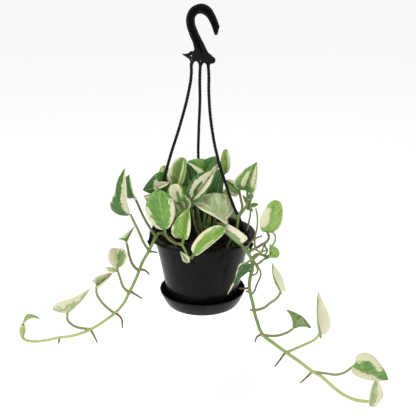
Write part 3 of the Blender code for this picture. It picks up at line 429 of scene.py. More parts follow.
LEAVES["back_left"] = (
    ("outer", HEART, 3, (-45, 44, -275), (-76, 54, -272), (-56, 46, -259), (-61, 56, -293),
     ((-33, 40, -275), (-42, 42, -266)), (MID, 0.3, 0.4)),
    ("upper", HEART, 3, (-33, 48, -261), (-42, 66, -231), (-50, 58, -249), (-23, 60, -245),
     ((-33, 40, -275), (-36, 44, -258)), (FRESH, 0.2, 0.3)),
    ("hanging", HEART, 4, (-31, 86, -292), (-36, 96, -338), (-54, 94, -312), (-14, 96, -310),
     ((-28, 38, -286), (-29, 62, -280), (-30, 80, -284)), (DARK, 0.25, 0.15, (0.4, 0.5, 0.2, 0.3, 1))),
)
LEAVES["back_right"] = (
    ("outer", HEART, 3, (20, 40, -264), (46, 52, -250), (28, 48, -249), (40, 46, -269),
     ((30, 36, -273), (28, 38, -262)), (MID, 0.3, 0.4)),
    ("upper", HEART, 3, (11, 28, -248), (11, 34, -215), (-3, 30, -228), (25, 30, -228),
     ((30, 36, -273), (20, 34, -256)), (MID, 0.35, 0.2)),
    ("hanging", HEART, 4, (36, 81, -291), (46, 93, -336), (20, 94, -312), (62, 80, -312),
     ((31, 34, -284), (30, 58, -280), (33, 74, -283)), (DARK, 0.2, 0.35)),
)

# Paths of old stalks without a blade, and of roots in the air
BARE_STALKS = {}
BARE_STALKS["right_vine"] = (
    ((70, -64, -315), (77, -65, -325), (76, -65, -332), (69, -62, -337)),
    ((69, -62, -366), (74, -60, -361), (77, -59, -352), (81, -59, -342), (82, -60, -334), (79, -61, -326),
     (71, -64, -313)),
    ((74, -60, -300), (73, -58, -291), (74, -50, -286), (77, -44, -272), (77, -40, -259),
     (75, -36, -250)),
    ((87, -57, -292), (87, -58, -296), (90, -60, -301), (87, -61, -307)),
    ((92, -60, -311), (83, -62, -315), (76, -64, -321)),
    ((95, -60, -296), (100, -58, -288), (100, -57, -281), (97, -57, -277)),
    ((64, -62, -307), (72, -66, -297), (80, -68, -300), (88, -66, -298)),
    ((68, -63, -316), (76, -66, -307), (83, -64, -299), (85, -60, -290)),
    ((70, -64, -319), (79, -66, -317), (87, -64, -310), (94, -62, -305)),
    ((63, -62, -300), (67, -58, -291), (75, -56, -285), (83, -55, -282)),
    ((68, -64, -313), (63, -67, -316), (62, -68, -323)),
)
BARE_STALKS["crown_left"] = (
    ((-27, -4, -300), (-22, -16, -288), (-20, -22, -272), (-22, -26, -258)),
)
BARE_STALKS["crown_centre"] = (
    ((6, -17, -304), (2, -20, -285), (-2, -22, -262), (-4, -24, -244)),
    ((6, -17, -304), (10, -20, -284), (13, -22, -262), (12, -24, -246)),
    ((6, -17, -302), (15, -22, -288), (21, -24, -272), (24, -24, -256)),
    ((6, -17, -302), (-3, -22, -290), (-8, -24, -274), (-9, -24, -256)),
)
BARE_STALKS["crown_right"] = (
    ((48, -28, -298), (64, -32, -282), (67, -26, -272), (69, -22, -260), (68, -20, -250)),
    ((63, -19, -245), (71, -21, -257)),
)
BARE_STALKS["crown_top"] = (
    ((-2, 16, -300), (6, 8, -282), (10, 4, -262), (12, 2, -244)),
    ((-2, 16, -300), (-8, 8, -284), (-12, 4, -264), (-14, 2, -246)),
)
AIR_ROOTS = {}
AIR_ROOTS["left_vine"] = (
    ((-70, -50, -307), (-64, -50, -307), (-57, -51, -308)),
    ((-83, -50, -333), (-75, -51, -334), (-69, -51, -340)),
    ((-97, -50, -365), (-88, -51, -371), (-80, -52, -376)),
    ((-118, -51, -398), (-110, -52, -407), (-109, -53, -421)),
    ((-154, -53, -423), (-149, -54, -433), (-145, -55, -443)),
    ((-197, -57, -434), (-199, -57, -443)),
)
AIR_ROOTS["right_vine"] = (
    ((67, -62, -355), (60, -62, -356), (53, -63, -355)),
    ((69, -62, -331), (62, -60, -329)),
    ((69, -62, -361), (62, -62, -360)),
    ((74, -63, -388), (68, -63, -388)),
    ((86, -66, -423), (79, -67, -427), (76, -67, -435)),
    ((118, -73, -448), (111, -74, -459), (104, -74, -470)),
    ((155, -83, -472), (148, -84, -480), (139, -84, -490)),
)

random.seed(17)


# Small helpers for modelling

def mm(point):
    return [value * MM for value in point]


def active(thing):
    bpy.ops.object.select_all(action="DESELECT")
    thing.select_set(True)
    bpy.context.view_layer.objects.active = thing


def named(name):
    made = bpy.context.object
    made.name = name
    made.data.name = name
    return made


def apply(thing, kind, **settings):
    """Add one modifier and apply it at once."""
    active(thing)
    change = thing.modifiers.new("change", kind)
    for key, value in settings.items():
        setattr(change, key, value)
    bpy.ops.object.modifier_apply(modifier=change.name)


def rounded(thing, width, segments, degrees):
    """Round the edges that turn by more than an angle."""
    apply(thing, "BEVEL", width=width * MM, segments=segments, limit_method="ANGLE",
          angle_limit=math.radians(degrees))


def combined(thing, operation, tool, **settings):
    """Add a tool to a thing or cut it out, and take the tool away."""
    apply(thing, "BOOLEAN", operation=operation, object=tool, solver="EXACT", **settings)
    bpy.data.objects.remove(tool)


def joined(name, things):
    """One mesh out of several; the first one's materials come first."""
    active(things[0])
    for thing in things:
        thing.select_set(True)
    if len(things) > 1:
        bpy.ops.object.join()
    return named(name)


def settle(thing):
    """Put an object's place, turn and size into its mesh."""
    active(thing)
    bpy.ops.object.transform_apply(location=True, rotation=True, scale=True)
    return thing


def smooth(thing, degrees):
    active(thing)
    bpy.ops.object.shade_smooth_by_angle(angle=math.radians(degrees))


def tidy_mesh(thing, distance):
    """Merge doubles and turn all faces outwards."""
    active(thing)
    bpy.ops.object.mode_set(mode="EDIT")
    bpy.ops.mesh.select_all(action="SELECT")
    bpy.ops.mesh.remove_doubles(threshold=distance)
    bpy.ops.mesh.normals_make_consistent(inside=False)
    bpy.ops.object.mode_set(mode="OBJECT")


def finished(thing, slot, *nodes):
    """Give a piece its ride and hide the solids that it stands for; the slot is not used."""
    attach(thing, "root")
    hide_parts(*nodes)


def turned(name, profile, steps):
    """Draw a profile of (radius, height) by extruding one vertex, and spin it about the pot's axis."""
    bpy.ops.mesh.primitive_plane_add(size=0.01)
    made = named(name)
    bpy.ops.object.mode_set(mode="EDIT")
    bpy.ops.mesh.merge(type="CENTER")
    bpy.ops.transform.translate(value=mm((POT_X + profile[0][0], 0.0, profile[0][1])))
    for before, after in zip(profile, profile[1:]):
        step = mm((after[0] - before[0], 0.0, after[1] - before[1]))
        bpy.ops.mesh.extrude_region_move(TRANSFORM_OT_translate={"value": step})
    bpy.ops.mesh.select_all(action="SELECT")
    bpy.ops.mesh.spin(steps=steps, angle=math.radians(360.0), center=mm((POT_X, 0.0, 0.0)),
                      axis=(0.0, 0.0, 1.0))
    bpy.ops.object.mode_set(mode="OBJECT")
    tidy_mesh(made, MERGE)
    return made


def round_block(sides, radius, depth, place, tilt=0.0):
    """A cylinder at a place in metres, upright unless it is tilted about X."""
    bpy.ops.mesh.primitive_cylinder_add(vertices=sides, radius=radius * MM, depth=depth * MM,
                                        location=place, rotation=(tilt, 0.0, 0.0))
    return settle(named("round_block"))


def pin(radius, depth, centre):
    """A round pin from front to back."""
    return round_block(36, radius, depth, mm(centre), math.radians(90.0))


def curve_line(name, steps, knot_count):
    """A curve in space with a number of knots and of steps between two knots."""
    bpy.ops.curve.primitive_bezier_curve_add()
    made = named(name)
    made.data.dimensions = "3D"
    made.data.use_fill_caps = True
    made.data.resolution_u = steps
    made.data.render_resolution_u = steps
    made.data.splines[0].bezier_points.add(knot_count - 2)
    return made


def set_knot(knot, place, kind=SOFT):
    knot.co = place
    knot.handle_left_type = kind
    knot.handle_right_type = kind


def as_mesh(made, name):
    active(made)
    bpy.ops.object.convert(target="MESH")
    return named(name)


def cord(name, points, radii, round_steps=3, steps=6):
    """A round stem, stalk or strand through points; radii is one value for each point or (first, last)."""
    made = curve_line(name, steps, len(points))
    made.data.bevel_depth = MM
    made.data.bevel_resolution = round_steps
    if len(radii) == 2:
        last = len(points) - 1
        radii = [radii[0] + (radii[1] - radii[0]) * place / last for place in range(len(points))]
    for knot, point, radius in zip(made.data.splines[0].bezier_points, points, radii):
        set_knot(knot, Vector(point) * MM)
        knot.radius = radius
    made = as_mesh(made, name)
    tidy_mesh(made, FINE_MERGE)
    bpy.ops.object.shade_smooth()
    return made


# Small helpers for materials

class Finish:
    """A material with its node tree and short ways to add nodes."""

    def __init__(self, name, roughness, specular):
        self.material = bpy.data.materials.new(name)
        self.material.use_nodes = True
        self.tree = self.material.node_tree
        self.shader = self.tree.nodes["Principled BSDF"]
        self.shader.inputs["Roughness"].default_value = roughness
        self.shader.inputs["Specular IOR Level"].default_value = specular

    def set(self, socket, value):
        if hasattr(value, "is_output"):
            self.tree.links.new(value, socket)
        else:
            socket.default_value = value

    def node(self, kind, **values):
        made = self.tree.nodes.new(kind)
        for key, value in values.items():
            setattr(made, key, value)
        return made

    def maths(self, operation, *values):
        made = self.node("ShaderNodeMath", operation=operation)
        for socket, value in zip(made.inputs, values):
            self.set(socket, value)
        return made.outputs[0]

    def noise(self, vector, scale, detail=2.0, roughness=0.5):
        made = self.node("ShaderNodeTexNoise")
        self.set(made.inputs["Vector"], vector)
        made.inputs["Scale"].default_value = scale
        made.inputs["Detail"].default_value = detail
        made.inputs["Roughness"].default_value = roughness
        return made.outputs["Fac"]

    def place(self):
        return self.node("ShaderNodeTexCoord").outputs["Object"]

    def attribute(self, name, output="Fac"):
        return self.node("ShaderNodeAttribute", attribute_name=name).outputs[output]

    def split(self, vector):
        made = self.node("ShaderNodeSeparateXYZ")
        self.set(made.inputs[0], vector)
        return made.outputs

    def stretched(self, vector, scale):
        made = self.node("ShaderNodeMapping")
        self.set(made.inputs["Vector"], vector)
        made.inputs["Scale"].default_value = scale
        return made.outputs["Vector"]

    def span(self, value, low, high, start=0.0, end=1.0):
        """Turn a value between low and high into one between start and end."""
        made = self.node("ShaderNodeMapRange", interpolation_type="SMOOTHSTEP")
        for socket, item in zip(made.inputs, (value, low, high, start, end)):
            self.set(socket, item)
        return made.outputs[0]

    def tinted(self, colour, saturation, value):
        made = self.node("ShaderNodeHueSaturation")
        self.set(made.inputs["Color"], colour)
        self.set(made.inputs["Saturation"], saturation)
        self.set(made.inputs["Value"], value)
        return made.outputs[0]

    def mix(self, share, first, second):
        made = self.node("ShaderNodeMix", data_type="RGBA")
        self.set(made.inputs["Factor"], share)
        ends = [socket for socket in made.inputs if socket.type == "RGBA"]
        for socket, value in zip(ends, (first, second)):
            self.set(socket, (*value, 1.0) if isinstance(value, tuple) else value)
        return [socket for socket in made.outputs if socket.type == "RGBA"][0]

    def laid(self, mask, strength, below, above):
        """Lay one tone over another through a mask."""
        return self.mix(self.maths("MULTIPLY", mask, strength), below, above)

    def colour(self, value):
        self.set(self.shader.inputs["Base Color"], value)

    def rough(self, value):
        self.set(self.shader.inputs["Roughness"], value)

    def bump(self, height, strength, distance):
        made = self.node("ShaderNodeBump")
        made.inputs["Strength"].default_value = strength
        made.inputs["Distance"].default_value = distance
        self.set(made.inputs["Height"], height)
        self.set(self.shader.inputs["Normal"], made.outputs["Normal"])


def black_plastic(name, tone, shine, smoothest, roughest, ripple):
    """Moulded plastic: nearly black, with a faint ripple, dust and rubbed spots."""
    look = Finish(name, smoothest, shine)
    place = look.place()
    rubbed = look.noise(place, 55.0, 4.0, 0.6)
    specks = look.span(look.noise(place, 420.0, 3.0, 0.7), 0.66, 0.74)
    worn = tuple(value * 1.8 for value in tone)
    base = look.mix(look.span(rubbed, 0.35, 0.75), tone, worn)
    look.colour(look.laid(specks, 0.25, base, DUST))
    look.rough(look.span(rubbed, 0.3, 0.7, smoothest, roughest))
    look.bump(look.noise(place, ripple), 0.12, 0.0003)
    return look.material


def leaf_finish(name, under):
    """A blade: green and cream parts split by a line that follows the side veins."""
    look = Finish(name, 0.55 if under else 0.34, 0.42)
    uv = look.split(look.node("ShaderNodeUVMap", uv_map="UVMap").outputs[0])
    across = look.maths("MULTIPLY", look.maths("SUBTRACT", uv[0], 0.5), 2.0)
    out = look.maths("ABSOLUTE", across)
    vein_run = look.maths("SUBTRACT", uv[1], look.maths("MULTIPLY", out, VEIN_SLANT))

    # Streaks that run along the side veins, other ones on each blade
    streak = look.node("ShaderNodeCombineXYZ")
    look.set(streak.inputs[0], look.maths("MULTIPLY", vein_run, 9.0))
    look.set(streak.inputs[1], look.maths("MULTIPLY", across, 1.7))
    look.set(streak.inputs[2], look.attribute("leaf_seed"))
    streaks = streak.outputs[0]
    coarse = look.noise(streaks, 1.0, 3.0, 0.62)
    fine = look.noise(streaks, 4.5, 3.0, 0.65)
    patch = look.span(look.noise(streaks, 2.1), 0.52, 0.60)
    fleck = look.span(look.noise(streaks, 6.5), 0.60, 0.66)

    # Where the blade is cream
    edge = look.attribute("cream")
    edge = look.maths("MULTIPLY_ADD", look.maths("SUBTRACT", coarse, 0.5), COARSE_RAGS, edge)
    edge = look.maths("MULTIPLY_ADD", look.maths("SUBTRACT", fine, 0.5), FINE_RAGS, edge)
    white = look.span(edge, -BORDER_SOFT, BORDER_SOFT)

    green = look.attribute("leaf_green", "Color")
    shade = look.tinted(green, 1.0, look.span(coarse, 0.25, 0.75, 0.72, 1.35))
    paler = look.tinted(green, 0.88, 1.75)
    body = look.laid(patch, 0.50, shade, paler)
    ivory = look.mix(look.span(fine, 0.3, 0.8), CREAM, IVORY)
    tone = look.mix(white, body, look.laid(fleck, 0.55, ivory, paler))

    vein = look.maths("ABSOLUTE", look.maths("SINE", look.maths("MULTIPLY", vein_run, VEIN_COUNT)))
    line = look.span(vein, 0.0, 0.16, 1.0, 0.0)
    rib = look.span(out, 0.015, 0.06, 1.0, 0.0)
    tone = look.laid(line, 0.10, tone, VEIN_GREEN)
    tone = look.laid(rib, 0.42, tone, RIB_GREEN)
    if under:
        tone = look.mix(look.maths("MULTIPLY_ADD", white, -0.38, 0.42), tone, UNDER_GREEN)
        # Cream on the underside, brightened as painted light.
        tone = look.laid(white, 0.6, tone, UNDER_CREAM_PAINTED_LIGHT)
    else:
        look.rough(look.span(coarse, 0.3, 0.7, 0.27, 0.42))
    look.colour(tone)
    height = look.maths("SUBTRACT", look.maths("MULTIPLY", fine, 0.5), look.maths("MULTIPLY", line, 0.35))
    look.bump(look.maths("SUBTRACT", height, look.maths("MULTIPLY", rib, 0.9)), 0.35, 0.0006)
    return look.material


def stem_finish():
    """A vine: green at the pot and lighter far from it, with olive and brown lengths."""
    look = Finish("vine_skin", 0.48, 0.4)
    place = look.place()
    patch = look.noise(place, 26.0, 3.0, 0.6)
    fine = look.noise(place, 260.0, 3.0, 0.6)
    away = look.span(look.maths("ABSOLUTE", look.split(place)[0]), 0.05, 0.19)
    base = look.mix(look.span(patch, 0.35, 0.70), STEM_LIGHT, STEM_DARK)
    base = look.mix(away, base, STEM_FAR)
    base = look.laid(look.span(fine, 0.60, 0.72), 0.35, base, STEM_SPECK)
    look.colour(look.mix(look.attribute("age"), base, STEM_OLD))
    look.bump(fine, 0.3, 0.0004)
    return look.material


def root_finish():
    """Air roots: dry, brown and rough."""
    look = Finish("dry_root", 0.85, 0.2)
    patch = look.noise(look.place(), 160.0, 4.0, 0.7)
    look.colour(look.mix(look.span(patch, 0.35, 0.7), ROOT_DARK, ROOT_LIGHT))
    look.bump(patch, 0.6, 0.0005)
    return look.material


def soil_finish():
    """Potting soil: dark brown of its own, darkened further to nearly black as painted shade under the
    leaves, with lighter grains.
    """
    look = Finish("soil_with_painted_shade", 0.92, 0.15)
    place = look.place()
    patch = look.noise(place, 90.0, 5.0, 0.7)
    fine = look.noise(place, 520.0, 4.0, 0.7)
    base = look.mix(look.span(patch, 0.35, 0.68), SOIL_DARK, SOIL_LIGHT)
    look.colour(look.laid(look.span(fine, 0.62, 0.72), 0.35, base, SOIL_GRAIN))
    look.bump(look.maths("ADD", patch, fine), 0.9, 0.0015)
    return look.material


def bark_finish():
    """Bark bits in the soil, with a grain that runs one way, darkened as painted shade under the leaves."""
    look = Finish("bark_bits", 0.85, 0.2)
    grain = look.noise(look.stretched(look.place(), (300.0, 90.0, 300.0)), 1.0, 4.0, 0.6)
    look.colour(look.mix(look.span(grain, 0.3, 0.7), BARK_DARK, BARK_LIGHT))
    look.bump(grain, 0.6, 0.0005)
    return look.material


POT_BLACK = black_plastic("pot_black", POT_TONE, 0.07, 0.22, 0.32, ripple=90.0)
SAUCER_BLACK = black_plastic("saucer_black", SAUCER_TONE, 0.09, 0.20, 0.32, ripple=80.0)
HANGER_BLACK = black_plastic("hanger_black", HANGER_TONE, 0.10, 0.20, 0.34, ripple=420.0)
# Painted shade for the groove: a darker, duller black laid into the recess.
GROOVE_PAINTED_SHADE = black_plastic("groove_painted_shade_plastic", GROOVE_PAINTED_SHADE_TONE, 0.03, 0.30, 0.40, ripple=420.0)
LEAF_TOP = leaf_finish("leaf_top", False)
LEAF_UNDER = leaf_finish("leaf_under", True)
VINE_SKIN = stem_finish()
DRY_ROOT = root_finish()
SOIL_PAINTED_SHADE = soil_finish()
BARK = bark_finish()


# Pot, saucer and soil

def at_rim(out, reach):
    """A place in metres at the ears' middle height, in a direction from the pot's axis."""
    place = (Vector((POT_X, 0.0, 0.0)) + out * reach) * MM
    place.z = (RIM_Z - EAR_THICK / 2) * MM
    return place


def rim_ear(turn):
    """One holed ear, with the neck that carries it on the rim."""
    out = Vector((math.cos(turn), math.sin(turn), 0.0))
    middle = at_rim(out, EAR_REACH)
    ear = round_block(40, EAR_R, EAR_THICK, middle)
    bpy.ops.mesh.primitive_cube_add(size=MM, location=at_rim(out, EAR_REACH - NECK_INWARD),
                                    rotation=(0.0, 0.0, turn), scale=NECK_SIZE)
    combined(ear, "UNION", settle(named("ear_neck")))
    combined(ear, "DIFFERENCE", round_block(32, EAR_HOLE_R, 4 * EAR_THICK, middle))
    rounded(ear, EAR_EDGE, 2, 40.0)
    return ear


def make_pot():
    shell = turned("pot_shell", POT_PROFILE, TURN_STEPS)
    rounded(shell, MOULD_EDGE, 2, 18.0)
    ears = [rim_ear(math.radians(angle)) for angle in STRANDS]
    pot = joined("pot_shell", [shell, *ears])
    smooth(pot, 40.0)
    pot.data.materials.append(POT_BLACK)
    finished(pot, "pot_plastic", "pot")


def make_saucer():
    saucer = turned("saucer_bowl", SAUCER_PROFILE, TURN_STEPS)
    rounded(saucer, MOULD_EDGE, 3, 14.0)
    smooth(saucer, 40.0)
    saucer.data.materials.append(SAUCER_BLACK)
    finished(saucer, "saucer_plastic", "saucer")


def soil_surface(body):
    """Cut the top of the filling finer and make it uneven."""
    active(body)
    bpy.ops.object.mode_set(mode="EDIT")
    bpy.ops.mesh.select_all(action="DESELECT")
    mesh = bmesh.from_edit_mesh(body.data)
    for face in mesh.faces:
        if face.calc_center_median().z > SURFACE_Z * MM and face.normal.z > 0.5:
            face.select = True
    bmesh.update_edit_mesh(body.data)
    bpy.ops.mesh.subdivide(number_cuts=2)
    bpy.ops.object.mode_set(mode="OBJECT")
    top = body.vertex_groups.new(name="top")
    chosen = [v.index for v in body.data.vertices
              if v.co.z > SURFACE_Z * MM and math.hypot(v.co.x / MM - POT_X, v.co.y / MM) < SURFACE_R]
    top.add(chosen, 1.0, "REPLACE")
    for name, size, strength in UNEVEN:
        pattern = bpy.data.textures.new(name, "CLOUDS")
        pattern.noise_scale = size * MM
        apply(body, "DISPLACE", texture=pattern, strength=strength * MM, mid_level=0.55, vertex_group="top")
    smooth(body, 60.0)


def loose_bit():
    """One crumb of soil or bark at a random place on the surface."""
    reach = BIT_REACH * math.sqrt(random.random())
    turn = random.uniform(0.0, 2.0 * math.pi)
    size = random.choice(BIT_SIZES)
    place = (POT_X + reach * math.cos(turn), reach * math.sin(turn), BIT_Z + random.uniform(-0.5, 0.8))
    bpy.ops.mesh.primitive_ico_sphere_add(
        subdivisions=1, radius=MM, location=mm(place),
        rotation=[random.uniform(0.0, 3.0) for _ in range(3)],
        scale=(size * random.uniform(1.0, 2.4), size, size * random.uniform(0.45, 0.8)))
    bit = named("bit")
    bit.data.materials.append(BARK if random.random() < BARK_SHARE else SOIL_PAINTED_SHADE)
    return bit


def make_soil():
    body = turned("soil_body", SOIL_PROFILE, SOIL_STEPS)
    soil_surface(body)
    body.data.materials.append(SOIL_PAINTED_SHADE)
    loose = settle(joined("loose_bits", [loose_bit() for _ in range(BIT_COUNT)]))
    smooth(loose, 50.0)
    soil = joined("soil_bed", [body, loose])
    finished(soil, "potting_soil", "soil")


# Hanger

def hook_plate():
    """The flat hook with its hub, drawn in the X-Z plane, with a smooth outline and rounded edges."""
    bpy.ops.curve.primitive_bezier_circle_add(radius=0.01)
    made = named("hook_plate")
    line = made.data
    line.dimensions = "2D"
    line.fill_mode = "BOTH"
    line.extrude = (HOOK_DEPTH / 2 - HOOK_EDGE) * MM
    line.bevel_depth = HOOK_EDGE * MM
    line.bevel_resolution = 3
    line.offset = -HOOK_EDGE * MM
    line.resolution_u = 10
    line.render_resolution_u = 10
    knots = line.splines[0].bezier_points
    knots.add(len(HOOK_OUTLINE) - len(knots))
    for knot, (x, z, *kind) in zip(knots, HOOK_OUTLINE):
        set_knot(knot, mm((x, z, 0.0)), *kind)
    made = as_mesh(made, "hook_plate")
    made.rotation_euler = (math.radians(90.0), 0.0, 0.0)
    settle(made)
    tidy_mesh(made, FINE_MERGE)
    return made


def strand(points):
    """A strand laid from two plies that turn round each other."""
    bpy.ops.curve.primitive_bezier_circle_add(radius=0.001)
    section = named("two_plies")
    section.data.resolution_u = 3
    section.data.render_resolution_u = 3
    flat = STRAND_FLAT * STRAND_R
    ring = ((-STRAND_R, 0.0, 0.0), (0.0, flat, 0.0), (STRAND_R, 0.0, 0.0), (0.0, -flat, 0.0))
    for knot, place in zip(section.data.splines[0].bezier_points, ring):
        set_knot(knot, mm(place))
    made = curve_line("strand", STRAND_STEPS, len(points))
    made.data.twist_mode = "MINIMUM"
    made.data.bevel_mode = "OBJECT"
    made.data.bevel_object = section
    run = 0.0
    before = Vector(points[0])
    for knot, point in zip(made.data.splines[0].bezier_points, points):
        run += (Vector(point) - before).length
        before = Vector(point)
        set_knot(knot, Vector(point) * MM)
        knot.tilt = 2.0 * math.pi * run / STRAND_PITCH
    made = as_mesh(made, "strand")
    bpy.data.objects.remove(section)
    tidy_mesh(made, FINE_MERGE)
    smooth(made, 70.0)
    return made


def barb(x, y):
    """The pointed end of a strand under its ear."""
    middle = RIM_Z - EAR_THICK - BARB_GAP - BARB_LENGTH / 2
    bpy.ops.mesh.primitive_cone_add(vertices=32, radius1=BARB_TIP_R * MM, radius2=BARB_R * MM,
                                    depth=BARB_LENGTH * MM, location=mm((x, y, middle)))
    made = settle(named("barb"))
    rounded(made, MOULD_EDGE, 2, 40.0)
    return made


def make_hanger():
    body = hook_plate()
    body.data.materials.append(HANGER_BLACK)
    for side in (-1.0, 1.0):
        path = [(x, side * (HOOK_DEPTH / 2 + GROOVE_OUTWARD), z) for x, z in GROOVE]
        cutter = cord("groove", path, GROOVE_RADII, 5, 8)
        # The groove's faces take the darker material as painted shade in the recess.
        cutter.data.materials.append(GROOVE_PAINTED_SHADE)
        combined(body, "DIFFERENCE", cutter, material_mode="TRANSFER")
    for x, z, radius in PIN_HOLES:
        combined(body, "DIFFERENCE", pin(radius, 2 * HOOK_DEPTH, (x, 0.0, z)))
    parts = []
    for angle, path in STRANDS.items():
        turn = math.radians(angle)
        x = POT_X + EAR_REACH * math.cos(turn)
        y = EAR_REACH * math.sin(turn)
        parts.append(strand([*path, (x, y, RIM_Z + STRAND_LEAD), (x, y, RIM_Z - EAR_THICK - STRAND_LEAD)]))
        parts.append(barb(x, y))
    for radius, depth, y, edge in KNOB_PINS:
        knob = pin(radius, depth, (KNOB_X, y, KNOB_Z))
        rounded(knob, edge, 3, 40.0)
        parts.append(knob)
    for part in parts:
        part.data.materials.append(HANGER_BLACK)
    hanger = joined("hook_and_strands", [body, *parts])
    smooth(hanger, 38.0)
    finished(hanger, "hanger_plastic", "hanger")


# Leaves and stems

def along_rows(rows, place):
    """Read the rows of a leaf at any place from 0 to 1 with a smooth curve through them."""
    rows = [*rows, (1.0, 1.0, 0.0)]
    spot = place * (len(rows) - 1)
    low = min(int(spot), len(rows) - 2)
    part = spot - low
    around = [rows[min(max(low + shift, 0), len(rows) - 1)] for shift in (-1, 0, 1, 2)]
    values = []
    for p0, p1, p2, p3 in zip(*around):
        values.append(0.5 * (2.0 * p1 + (p2 - p0) * part + (2.0 * p0 - 5.0 * p1 + 4.0 * p2 - p3) * part ** 2
                             + (3.0 * p1 - p0 - 3.0 * p2 + p3) * part ** 3))
    return values


def limited(value):
    return max(-FIELD_LIMIT, min(FIELD_LIMIT, value))


def cream_field(across, place, left_band, right_band, *patches):
    """Above zero where the blade is cream and below zero where it is green."""
    band = right_band if across > 0.0 else left_band
    value = limited((abs(across) - (1.0 - band)) * BAND_SLOPE) if band > 0.0 else -FIELD_LIMIT
    for patch_across, patch_place, wide, long, kind in patches:
        away = math.hypot((across - patch_across) / wide, (place - patch_place) / long)
        inside = limited((1.0 - away) * PATCH_SLOPE)
        value = max(value, inside) if kind > 0 else min(value, -inside)
    return value


def leaf(name, outline, arch, base, tip, left, right, paint):
    """A blade; left and right are points of its margins seen on the upper face."""
    base, tip, left, right = (Vector(point) for point in (base, tip, left, right))
    along = tip - base
    length = along.length
    along.normalize()
    halves = []
    for margin in (left, right):
        out = margin - base
        halves.append(out - along * out.dot(along))
    up = (halves[1] - halves[0]).cross(along).normalized()
    bpy.ops.mesh.primitive_grid_add(x_subdivisions=ACROSS, y_subdivisions=ALONG, size=2.0, calc_uvs=True)
    made = named(name)
    mesh = made.data
    mesh.attributes.new("cream", "FLOAT", "POINT")
    mesh.attributes.new("leaf_green", "FLOAT_COLOR", "POINT")
    mesh.attributes.new("leaf_seed", "FLOAT", "POINT")
    cream, tint, seed = (mesh.attributes[key].data for key in ("cream", "leaf_green", "leaf_seed"))
    green, *cream_parts = paint
    seed_value = random.uniform(0.0, 40.0)
    wave = random.uniform(0.0, 6.0)
    for index, vertex in enumerate(mesh.vertices):
        across = vertex.co.x
        place = (vertex.co.y + 1.0) / 2.0
        share = abs(across)
        middle, edge, width = along_rows(outline, place)
        half = halves[0] if across < 0.0 else halves[1]
        spine = base + along * length * middle + up * (4.0 * arch * middle * (1.0 - middle))
        reach = half * width * share
        shift = along * (length * (edge - middle) * share ** (1.0 + 0.6 * (1.0 - place)))
        sag = CUP * half.length * width * (share - share * share) * 4.0
        turn = place * RIPPLE_TURNS + wave + (RIPPLE_LAG if across > 0.0 else 0.0)
        ripple = RIPPLE * length * share ** 3 * math.sin(turn) * (1.0 - place ** 4)
        crease = -CREASE_DEPTH * math.exp(-(share / CREASE_WIDTH) ** 2)
        vertex.co = (spine + reach + shift + up * (sag + ripple + crease)) * MM
        cream[index].value = cream_field(across, place, *cream_parts)
        tint[index].color = (*green, 1.0)
        seed[index].value = seed_value
    return made


def aged(thing, value):
    """Say how brown a stem is, from 0 to 1."""
    age = thing.data.attributes.new("age", "FLOAT", "POINT")
    age.data.foreach_set("value", [value] * len(thing.data.vertices))
    return thing


def leaf_stalk(path, base):
    """The stalk of a leaf, with a collar on the vine and a knee at the blade."""
    stalk = aged(cord("stalk", [*path, base], (STALK_R * 1.15, STALK_R)), random.uniform(0.0, 0.75))
    start = Vector(path[0])
    ahead = (Vector(path[1] if len(path) > 1 else base) - start).normalized()
    collar = cord("collar", [start + ahead * place for place in COLLAR_PLACES], COLLAR_RADII)
    end = Vector(base)
    before = end - (end - Vector(path[-1])).normalized() * KNEE_LENGTH
    knee = cord("knee", [before, base], (STALK_R * 0.9, STALK_R * 1.25))
    return [stalk, aged(collar, 0.25), aged(knee, 0.0)]


def make_plant(name):
    """One leafy stem: all its blades in one piece, and its vine, stalks and roots in another."""
    (x, y), taper, path = STEMS[name]
    foot = [(x, y, SOIL_TOP + rise) for rise in FOOT_RISES]
    stems = [aged(cord(name + "_vine", [*foot, *path], (VINE_R, VINE_R * taper)), 0.0)]
    blades = []
    for label, outline, arch, base, tip, left, right, stalk, paint in LEAVES[name]:
        blades.append(leaf(name + "_" + label, outline, arch, base, tip, left, right, paint))
        if stalk:
            stems.extend(leaf_stalk(stalk, base))
    for path in BARE_STALKS.get(name, ()):
        stems.append(aged(cord("bare_stalk", path, (LOOSE_R * 1.25, LOOSE_R)), random.uniform(0.1, 0.6)))
    for thing in stems:
        thing.data.materials.append(VINE_SKIN)
    for path in AIR_ROOTS.get(name, ()):
        root = cord("air_root", path, (ROOT_R * 1.9, ROOT_R * 1.1))
        root.data.materials.append(DRY_ROOT)
        stems.append(root)
    sheet = joined(name + "_leaves", blades)
    sheet.data.materials.append(LEAF_TOP)
    sheet.data.materials.append(LEAF_UNDER)
    apply(sheet, "SOLIDIFY", thickness=BLADE * MM, offset=0.0, material_offset=1, use_even_offset=False)
    active(sheet)
    bpy.ops.object.shade_smooth()
    finished(sheet, "pothos_leaf", name)
    stalks = joined(name + "_stems", stems)
    finished(stalks, "pothos_leaf", name)


# Room, light and camera

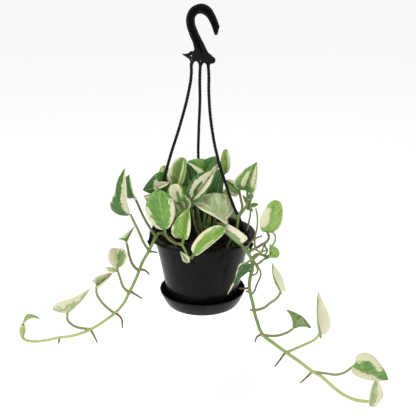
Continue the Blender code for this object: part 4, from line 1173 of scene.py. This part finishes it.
def make_floor():
    """A pale floor under the hanging pot."""
    look = Finish("floor_paper", 0.85, 0.2)
    look.colour(FLOOR_TONE)
    look.shader.inputs["Emission Color"].default_value = WHITE
    look.shader.inputs["Emission Strength"].default_value = FLOOR_GLOW
    bpy.ops.mesh.primitive_plane_add(size=FLOOR_SIZE, location=(0.0, 0.0, FLOOR_Z))
    floor = named("floor")
    floor.data.materials.append(look.material)


def make_room_light():
    """White light from all round, brighter at the level of the eye than overhead."""
    world = bpy.data.worlds.new("studio")
    world.use_nodes = True
    tree = world.node_tree
    back = tree.nodes["Background"]
    back.inputs["Color"].default_value = WHITE
    toward = tree.nodes.new("ShaderNodeTexCoord")
    rise = tree.nodes.new("ShaderNodeSeparateXYZ")
    fade = tree.nodes.new("ShaderNodeMapRange")
    for socket, value in SKY_FADE.items():
        fade.inputs[socket].default_value = value
    tree.links.new(toward.outputs["Generated"], rise.inputs[0])
    tree.links.new(rise.outputs[2], fade.inputs[0])
    tree.links.new(fade.outputs[0], back.inputs["Strength"])
    bpy.context.scene.world = world


def make_lamps():
    for name, place, size, power in LAMPS:
        bpy.ops.object.light_add(type="AREA", location=place)
        lamp = named(name)
        lamp.data.shape = "RECTANGLE"
        lamp.data.size = size[0]
        lamp.data.size_y = size[1]
        lamp.data.energy = power
        aim = Vector(LAMP_AIM) - Vector(place)
        lamp.rotation_euler = aim.to_track_quat("-Z", "Y").to_euler()


def make_camera():
    """A camera in front of the plant, looking down at the photo's angle."""
    bpy.ops.object.camera_add(location=CAMERA_PLACE, rotation=(math.radians(90.0 - CAMERA_DOWN), 0.0, 0.0))
    camera = named("front_camera")
    camera.data.sensor_width = SENSOR
    camera.data.lens = SENSOR * FOCAL_PIXELS / IMAGE_PIXELS
    camera.data.clip_start = NEAR_CLIP
    bpy.context.scene.camera = camera
    bpy.context.scene.view_settings.view_transform = "Standard"


make_pot()
make_saucer()
make_soil()
make_hanger()
for stem_name in STEMS:
    make_plant(stem_name)
make_floor()
make_room_light()
make_lamps()
make_camera()
